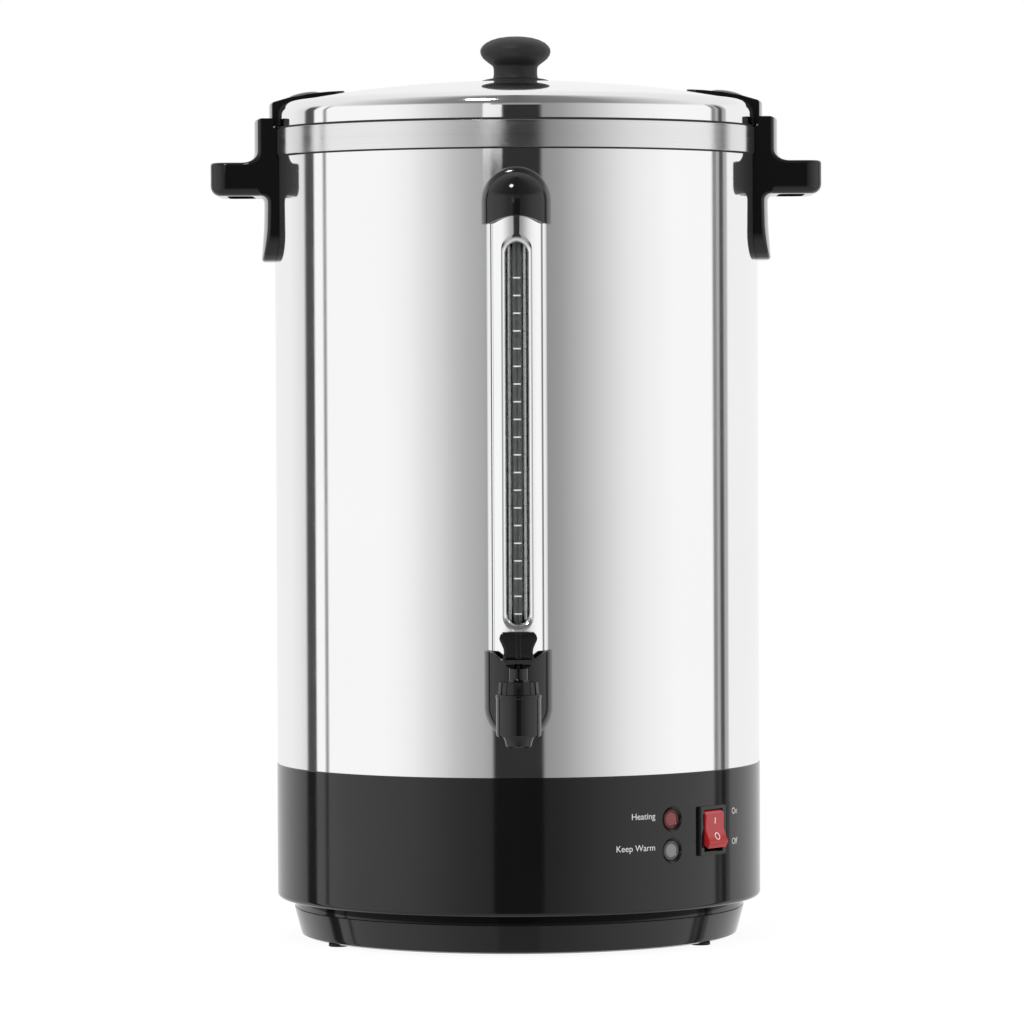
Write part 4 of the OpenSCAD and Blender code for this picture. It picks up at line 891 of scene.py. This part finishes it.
def handle():
    """The handle at the right of the tank: its bracket, and the grip that grows out of it."""
    section = [(SEAT_R, HANDLE_FOOT), (WALL_R + 1.8, HANDLE_FOOT), (WALL_R + 0.3, HANDLE_FOOT + 20.5),
               (WALL_R, GRIP_LOW - 8)]
    section += bow(WALL_R + 4, GRIP_LOW - 4, 4, 180, 90, 5) + bow(HEAD_R + 7, GRIP_HIGH + 7, 7, 270, 180, 6)
    section += [(HEAD_R, HANDLE_TOP), (LID_CLEAR_R, HANDLE_TOP), (LID_CLEAR_R, POCKET_Z),
                (BAND_CLEAR_R, POCKET_Z), (BAND_CLEAR_R, BAND_CLEAR_Z), (SEAT_R, BAND_CLEAR_Z)]
    bracket = pushed([(x, -HANDLE_HALF, z) for x, z in section], (0, 2 * HANDLE_HALF, 0))
    for side in (1, -1):
        round_edges(bracket, FOOT_ROUND, 10,
                    lambda p: p.z < HANDLE_FOOT + 0.1 and abs(p.y - side * HANDLE_HALF) < 0.1)
    bracket.normal_update()
    outer = [e for e in bracket.edges if e.calc_face_angle(0) > math.radians(40) and e.is_convex
             and all(v.co.x > GRIP_ROOT_R * MM for v in e.verts)
             and not all(GRIP_LOW - 0.1 < v.co.z / MM < GRIP_HIGH + 0.1 for v in e.verts)]
    bevel(bracket, outer, EDGE_ROUND, 4)
    wrapped(bracket, HANDLE_HALF, straight=STRAIGHT_R, curved=HEAD_R)
    half = HANDLE_HALF - 0.05
    plan = [(GRIP_ROOT_R, -half), (GRIP_X, -half), (GRIP_X, half), (GRIP_ROOT_R, half)]
    grip = pushed([(x, y, GRIP_LOW) for x, y in plan], (0, 0, GRIP_HIGH - GRIP_LOW))
    for side in (1, -1):
        round_edges(grip, TIP_ROUND, 12, lambda p: p.x > GRIP_X - 0.1 and abs(p.y - side * half) < 0.1)
    for height, width in ((GRIP_LOW, GRIP_UNDER_ROUND), (GRIP_HIGH, EDGE_ROUND)):
        edges = [e for e in grip.edges if all(abs(v.co.z / MM - height) < 0.1 for v in e.verts)
                 and any(v.co.x > (GRIP_ROOT_R + 1) * MM for v in e.verts)]
        bevel(grip, edges, width, 6)
    gap = []
    for x, y, first in ((GAP_INNER, -1, 180), (GAP_OUTER, -1, 270), (GAP_OUTER, 1, 0), (GAP_INNER, 1, 90)):
        gap += bow(x, y * (GAP_HALF - GAP_ROUND), GAP_ROUND, first, first + 90, 6)
    gap = pushed([(x, y, GRIP_LOW - 9) for x, y in gap], (0, 0, GRIP_HIGH - GRIP_LOW + 20))
    grip = carve(grip, gap.copy())
    bracket = carve(bracket, gap)
    pocket = sector([(CUT_IN_R, POCKET_Z), (POCKET_R, POCKET_Z), (POCKET_R, CUT_TOP),
                     (CUT_IN_R, CUT_TOP)], 0.8, 9.4)
    bracket = carve(bracket, pocket)
    undercut = sector([(CUT_IN_R, POCKET_Z), (UNDERCUT_R, POCKET_Z), (UNDERCUT_R, UNDERCUT_TOP),
                       (CUT_IN_R, UNDERCUT_TOP)], -8.0, 5.1)
    return joined([carve(bracket, undercut), grip])


for side, turn in (("right", 0), ("left", 180)):
    grip = piece("side_handle_" + side, moved(handle(), spun(turn)), black_gloss)
    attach(grip, "urn")
    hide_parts("handle_" + side)


# Lid
# A shallow dome spun from polished stainless sheet, with a rounded shoulder and a short
# straight skirt that stands on the gasket.
LID_R = 149.5
LID_Z = 502.85
LID_T = 0.8
DOME_R = 800.0
EDGE_R = 9.0
EDGE_Z = LID_Z + 7.0
DOME_Z = EDGE_Z - math.sqrt((DOME_R - EDGE_R) ** 2 - (LID_R - EDGE_R) ** 2)


def dome_line(lift, inner, outer, count):
    """Points of the dome's section raised by lift, between two radii."""
    radii = [inner + (outer - inner) * i / count for i in range(count + 1)]
    return [(r, DOME_Z + math.sqrt((DOME_R + lift) ** 2 - r * r)) for r in radii]


shoulder = math.degrees(math.acos((LID_R - EDGE_R) / (DOME_R - EDGE_R)))
joint_r = DOME_R * math.cos(math.radians(shoulder))
outside = dome_line(0, 0, joint_r, 24) + bow(LID_R - EDGE_R, EDGE_Z, EDGE_R, shoulder, 0, 16)[1:] + (
    [(LID_R, LID_Z)])
inner_joint = (DOME_R - LID_T) * math.cos(math.radians(shoulder))
within = [(LID_R - LID_T, LID_Z)] + bow(LID_R - EDGE_R, EDGE_Z, EDGE_R - LID_T, 0, shoulder, 16)[:-1] + (
    list(reversed(dome_line(-LID_T, 0, inner_joint, 24))))
lid = piece("lid_dome", turned(outside + within, ROUND_STEPS), polished_steel)
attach(lid, "lid")
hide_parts("lid")


# Lid lugs
# Two black arms screwed to the lid. Each follows the dome, turns down over its edge and ends
# in a foot that slides under the handle's head when the lid is turned.
LUG_HALF = 30.0
LUG_INNER = 108.0
LUG_T = 2.85
LUG_SUNK = 0.15
LUG_LIFTS = ((151.4, 1.7), (142, 2.7), (131, LUG_T), (120, 2.2), (LUG_INNER, 1.2))
CAP_CIRCLE = 131.0
LUG_ROUND = 8.0
TAB_R = 153.2
TAB_Z = 503.5
TAB_TOP = 517.0
LUG_FOOT_IN = 152.2
LUG_FOOT_OUT = 157.7
LUG_FOOT_TOP = TAB_Z + 2


def dome_height(r):
    """The height of the dome at a radius."""
    return DOME_Z + math.sqrt(DOME_R ** 2 - r * r)


def lug():
    """The lug at the right of the lid, sunk a little into the sheet under it."""
    under = [(r, dome_height(r) - LUG_SUNK) for r in (LUG_INNER, 120, 131, 140)]
    under += bow(LID_R - EDGE_R, EDGE_Z, EDGE_R - LUG_SUNK, 70, 0, 6)
    tab = [(LID_R - 0.1, TAB_Z), (TAB_R, TAB_Z), (TAB_R, TAB_TOP), (TAB_R - 0.6, TAB_TOP + 1.2)]
    over = [(r, dome_height(r) + lift) for r, lift in LUG_LIFTS]
    shape = pushed([(x, -LUG_HALF, z) for x, z in under + tab + over], (0, 2 * LUG_HALF, 0))
    for side in (1, -1):
        round_edges(shape, LUG_ROUND, 8,
                    lambda p: p.x < LUG_INNER + 0.1 and abs(p.y - side * LUG_HALF) < 0.1)
    soften(shape, width=0.5, segments=2, angle=40, side="out")
    wrapped(shape, LUG_HALF, straight=0, curved=1)
    foot = sector([(LUG_FOOT_IN, TAB_Z), (LUG_FOOT_OUT, TAB_Z), (LUG_FOOT_OUT, LUG_FOOT_TOP),
                   (LUG_FOOT_IN, LUG_FOOT_TOP)], 1.7, 8.3, 8)
    return joined([shape, soften(foot, width=0.3, segments=2)])


for side, turn in (("right", 0), ("left", 180)):
    arm = piece("lug_" + side, moved(lug(), spun(turn)), black_gloss)
    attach(arm, "lid")
    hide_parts("lid_lug_" + side)

caps = []
for side in (1, -1):
    cap = turned([(0, 0), (9.6, 0), (10, 0.4), (9.2, 0.9), (7.2, 1.5), (4.6, 1.9), (2, 2.1), (0, 2.15)], 48)
    tilt = Matrix.Rotation(side * math.asin(CAP_CIRCLE / DOME_R), 4, "Y")
    caps.append(moved(cap, shifted(0, 0, DOME_Z) @ tilt @ shifted(0, 0, DOME_R + LUG_T + 0.05)))
caps = piece("screw_caps", joined(caps), black_gloss)
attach(caps, "lid")
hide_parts("lug_caps")


# Lid knob
# A matt black mushroom knob on a flared foot, held by one screw through the lid.
black_matt = finish("black_matt", [(0.012, 0.012, 0.013), (0.024, 0.024, 0.025)], (0.48, 0.62), 500, 0.15)
LID_TOP = DOME_Z + DOME_R
knob_place = shifted(0, 0, LID_TOP)
shape = turned([(0, 0.1), (20.9, -0.2), (21.4, 0.2), (20.8, 0.9), (18.4, 1.6), (15.2, 2.2), (0, 2.2)], 96)
knob_foot = piece("knob_foot", moved(shape, knob_place), black_matt)
shape = turned([(0, 2.2), (14.3, 2.2), (13.8, 3.0), (13.5, 5.0), (13.6, 8.4), (14.1, 9.8), (14.8, 10.5),
                (17.4, 12.4), (19.9, 14.5), (21.3, 16.5), (21.9, 18.7), (21.7, 20.4), (20.7, 22.2),
                (18.6, 24.2), (15.2, 26.0), (11.0, 27.3), (6, 28.05), (0, 28.2)], 96)
knob = piece("knob", moved(shape, knob_place), black_matt, crease=60)
for part, node in ((knob_foot, "knob_base"), (knob, "lid_knob")):
    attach(part, "lid")
    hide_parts(node)


# Inner and small parts
# Screws, washers, seals, the heating parts under the tank floor and the valve keep their
# machined shapes, and take the finish of their own material.
slot_finish = {
    "polished_steel": polished_steel, "brushed_steel": brushed_steel, "black_gloss": black_gloss,
    "black_matt": black_matt, "black_rubber": black_rubber, "gauge_glass": gauge_glass,
    "red_lens": red_lens, "clear_lens": clear_lens,
    "bright_steel": finish("bright_steel", [(0.66, 0.66, 0.67), (0.78, 0.78, 0.79)], (0.15, 0.3), 300, 0.05,
                           Metallic=1.0),
    "silicone": finish("silicone", [(0.62, 0.62, 0.60), (0.70, 0.70, 0.68)], (0.4, 0.6), 200, 0.1),
    "brass": finish("brass", [(0.62, 0.42, 0.16), (0.74, 0.54, 0.24)], (0.2, 0.38), 250, 0.06, Metallic=1.0),
    "ivory_plastic": finish("ivory_plastic", [(0.66, 0.62, 0.52), (0.74, 0.70, 0.60)], (0.3, 0.5), 250, 0.08),
    "aluminium": finish("aluminium", [(0.62, 0.62, 0.63), (0.72, 0.72, 0.73)], (0.3, 0.5), 200, 0.1,
                        Metallic=1.0),
    "dark_steel": finish("dark_steel", [(0.10, 0.10, 0.105), (0.18, 0.17, 0.165)], (0.35, 0.6), 250, 0.12,
                         Metallic=1.0),
}
for entry in frame["record"]["subparts"]:
    part = frame["nodes"][entry["node"]]
    part.data.materials.clear()
    part.data.materials.append(slot_finish[entry["material_slot"]])
frame["nodes"]["tank_floor"].data.materials[0] = satin_steel


# Tap spring
# A short coil of stainless wire over the stem, between the valve cup and the bonnet; it is pressed
# together towards the bonnet when the stem lifts.
SPRING_R = 5.5
WIRE_R = 0.4
SPRING_TURNS = 3.5
SPRING_STEPS = 112
low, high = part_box("tap_spring")
length = high[2] - low[2]
step_up = (length - 2 * WIRE_R * MM) / SPRING_STEPS
shape = bmesh.new()
wire_end = bmesh.ops.create_circle(shape, segments=10, radius=WIRE_R * MM)["verts"]
bmesh.ops.rotate(shape, verts=wire_end, cent=(0, 0, 0), matrix=Matrix.Rotation(math.radians(90), 3, "X"))
bmesh.ops.translate(shape, verts=wire_end, vec=(SPRING_R * MM, 0, low[2] + WIRE_R * MM))
bmesh.ops.spin(shape, geom=shape.verts[:] + shape.edges[:], cent=(0, 0, 0), axis=(0, 0, 1),
               dvec=(0, 0, step_up), angle=math.radians(360 * SPRING_TURNS), steps=SPRING_STEPS)
bmesh.ops.holes_fill(shape, edges=[e for e in shape.edges if e.is_boundary], sides=0)
face_out(shape)
middle = Matrix.Translation(((low[0] + high[0]) / 2, (low[1] + high[1]) / 2, 0))
spring = piece("tap_spring_wire", moved(shape, middle), slot_finish["bright_steel"])
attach(spring, "urn")
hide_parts("tap_spring")
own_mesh(spring)


# Studio
# A pale round floor, a small soft light over the front, and a white room with a dark ceiling, a dark
# opening behind the camera and dark panels at the sides, which the polished steel mirrors.
FLOOR_R = 0.62
FLOOR_TONE = 0.9
FLOOR_GLOW = 1.05
FLOOR_GLOW_SHARE = 0.9
FILL_LEVEL = 0.8
BACKDROP_LEVEL = 1.0
SOFTBOX_SIZE = 0.5
SOFTBOX_POWER = 14
SOFTBOX_AT = (-0.6, -1.6, 2.4)
SOFTBOX_AIM = (0, 0, 0.3)
shape = bmesh.new()
bmesh.ops.create_circle(shape, cap_ends=True, segments=128, radius=FLOOR_R)
floor_finish = bpy.data.materials.new("floor")
floor_finish.use_nodes = True
nodes, links = floor_finish.node_tree.nodes, floor_finish.node_tree.links
nodes.clear()
path = nodes.new("ShaderNodeLightPath")
matte = nodes.new("ShaderNodeBsdfDiffuse")
matte.inputs["Color"].default_value = (FLOOR_TONE, FLOOR_TONE, FLOOR_TONE, 1)
lit = nodes.new("ShaderNodeEmission")
lit.inputs["Strength"].default_value = FLOOR_GLOW
share = nodes.new("ShaderNodeMath")
share.operation = "MULTIPLY"
share.inputs[1].default_value = FLOOR_GLOW_SHARE
mix = nodes.new("ShaderNodeMixShader")
leave = nodes.new("ShaderNodeOutputMaterial")
links.new(path.outputs["Is Camera Ray"], share.inputs[0])
links.new(share.outputs[0], mix.inputs["Fac"])
links.new(matte.outputs[0], mix.inputs[1])
links.new(lit.outputs[0], mix.inputs[2])
links.new(mix.outputs[0], leave.inputs["Surface"])
mesh = as_mesh("floor", shape)
mesh.materials.append(floor_finish)
floor = in_scene("floor", mesh)
floor.visible_glossy = False

world = bpy.data.worlds.new("studio")
bpy.context.scene.world = world
world.use_nodes = True
nodes, links = world.node_tree.nodes, world.node_tree.links
nodes.clear()


def sums(kind, *values):
    """A sum node; each of its inputs is a number or another node's output."""
    node = nodes.new("ShaderNodeMath")
    node.operation = kind
    for socket, value in zip(node.inputs, values):
        if isinstance(value, float):
            socket.default_value = value
        else:
            links.new(value, socket)
    return node.outputs[0]


def shades(spot, stops, first, last):
    """A ramp of greys, from pairs of a place and a level between the first place and the last."""
    node = nodes.new("ShaderNodeValToRGB")
    for i, (place, level) in enumerate(stops):
        position = (place - first) / (last - first)
        stop = node.color_ramp.elements[i] if i < 2 else node.color_ramp.elements.new(position)
        stop.position = position
        stop.color = (level, level, level, 1)
    links.new(spot, node.inputs["Fac"])
    return node.outputs["Color"]


# Levels round the room, by the angle from the camera's side: dark panels near 105 to 120 each way.
LEFT_WALL = [(-180, .91), (-137, .91), (-128, .84), (-121.5, .75), (-119, .10), (-116.5, .07),
             (-112.5, .09), (-111, 1), (-105, 1), (-104, .35), (-102.5, .30), (-101.5, 1), (-67, 1),
             (-59, .97), (-51, .91), (-44, .80), (-37, .70), (-30, .57), (-23, .48), (-16, .42),
             (-12.5, .36), (-11, .03), (0, .03)]
RIGHT_WALL = [(0, .03), (11, .03), (12.5, .29), (20.6, .35), (27.4, .45), (34.3, .55), (41.3, .66),
              (48.6, .77), (56, .86), (64, .92), (80, 1), (106, 1), (107.5, .25), (109.5, .25),
              (110.5, .45), (112, .40), (113, .08), (115.5, .10), (116.5, .42), (119, .45),
              (120, .93), (180, .93)]
# Levels of the ceiling, from over the camera round to the back.
CEILING = [(0, .14), (45, .26), (75, .55), (110, .85), (180, .9)]
CEILING_FROM = 0.27
CEILING_FULL = 0.42
# The light grey ground, mirrored by surfaces that look down, and by the tank in views from above.
GROUND_FROM = -0.35
GROUND_FULL = -0.80
GROUND_LEVEL = 0.62
# A white card behind the camera, mirrored by the lid and the rim band.
CARD_MID = -11.0
CARD_HALF = 4.5
CARD_LOW = 0.0405
CARD_LEVEL = 0.95
# The wall over the dark opening, mirrored by the lid in views from behind.
OPENING_HALF = 12.0
OPENING_TOP = 0.15
OPENING_LEVEL = 0.36


def blended(share, first, second):
    """A mix of two colours; each is a level or another node's output."""
    node = nodes.new("ShaderNodeMix")
    node.data_type = "RGBA"
    links.new(share, node.inputs["Factor"])
    for label, value in (("A", first), ("B", second)):
        if isinstance(value, float):
            node.inputs[label].default_value = (value, value, value, 1)
        else:
            links.new(value, node.inputs[label])
    return node.outputs["Result"]


def between(value, first, last):
    """How far a value lies between two others, from 0 to 1."""
    node = nodes.new("ShaderNodeMapRange")
    node.inputs["From Min"].default_value = first
    node.inputs["From Max"].default_value = last
    links.new(value, node.inputs["Value"])
    return node.outputs["Result"]


def patch(middle, half, low):
    """1 on a strip of wall above a height, round an angle from the camera's side, and 0 elsewhere."""
    beside = sums("COMPARE", turn, middle / 180, half / 180)
    return sums("MULTIPLY", beside, sums("GREATER_THAN", height, low))


way = nodes.new("ShaderNodeTexCoord")
split = nodes.new("ShaderNodeSeparateXYZ")
links.new(way.outputs["Generated"], split.inputs[0])
height = split.outputs["Z"]
to_front = sums("MULTIPLY", split.outputs["Y"], -1.0)
turn = sums("DIVIDE", sums("ARCTAN2", split.outputs["X"], to_front), math.pi)
left = shades(sums("ADD", turn, 1.0), LEFT_WALL, -180, 0)
right = shades(turn, RIGHT_WALL, 0, 180)
walls = blended(sums("GREATER_THAN", turn, 0.0), left, right)
walls = blended(patch(CARD_MID, CARD_HALF, CARD_LOW), walls, CARD_LEVEL)
walls = blended(patch(0.0, OPENING_HALF, OPENING_TOP), walls, OPENING_LEVEL)
ceiling = shades(sums("ABSOLUTE", turn), CEILING, 0, 180)
room = blended(between(height, CEILING_FROM, CEILING_FULL), walls, ceiling)
room = blended(between(height, GROUND_FROM, GROUND_FULL), room, GROUND_LEVEL)
path = nodes.new("ShaderNodeLightPath")
mirrors = sums("MAXIMUM", path.outputs["Is Glossy Ray"], path.outputs["Is Transmission Ray"])
seen = blended(path.outputs["Is Camera Ray"], blended(mirrors, FILL_LEVEL, room), BACKDROP_LEVEL)
sky = nodes.new("ShaderNodeBackground")
leave = nodes.new("ShaderNodeOutputWorld")
links.new(seen, sky.inputs["Color"])
links.new(sky.outputs[0], leave.inputs["Surface"])

lamp = bpy.data.lights.new("softbox", "AREA")
lamp.shape = "DISK"
lamp.size = SOFTBOX_SIZE
lamp.energy = SOFTBOX_POWER
softbox = in_scene("softbox", lamp)
softbox.location = SOFTBOX_AT
softbox.rotation_euler = (Vector(SOFTBOX_AIM) - softbox.location).to_track_quat("-Z", "Y").to_euler()


# Camera
# A long lens at a little over half the urn's height, level with the gauge, looking slightly down.
CAMERA_AT = (-0.003, -3.42, 0.350)
CAMERA_DOWN = 1.44
CAMERA_TILT = 0.26
FOCAL_LENGTH = 193.0
lens = bpy.data.cameras.new("camera")
lens.sensor_width = 36
lens.lens = FOCAL_LENGTH
camera = in_scene("camera", lens)
camera.location = CAMERA_AT
camera.rotation_euler = (math.radians(90 - CAMERA_DOWN), math.radians(CAMERA_TILT), 0)
bpy.context.scene.camera = camera
bpy.context.scene.view_settings.view_transform = "Standard"
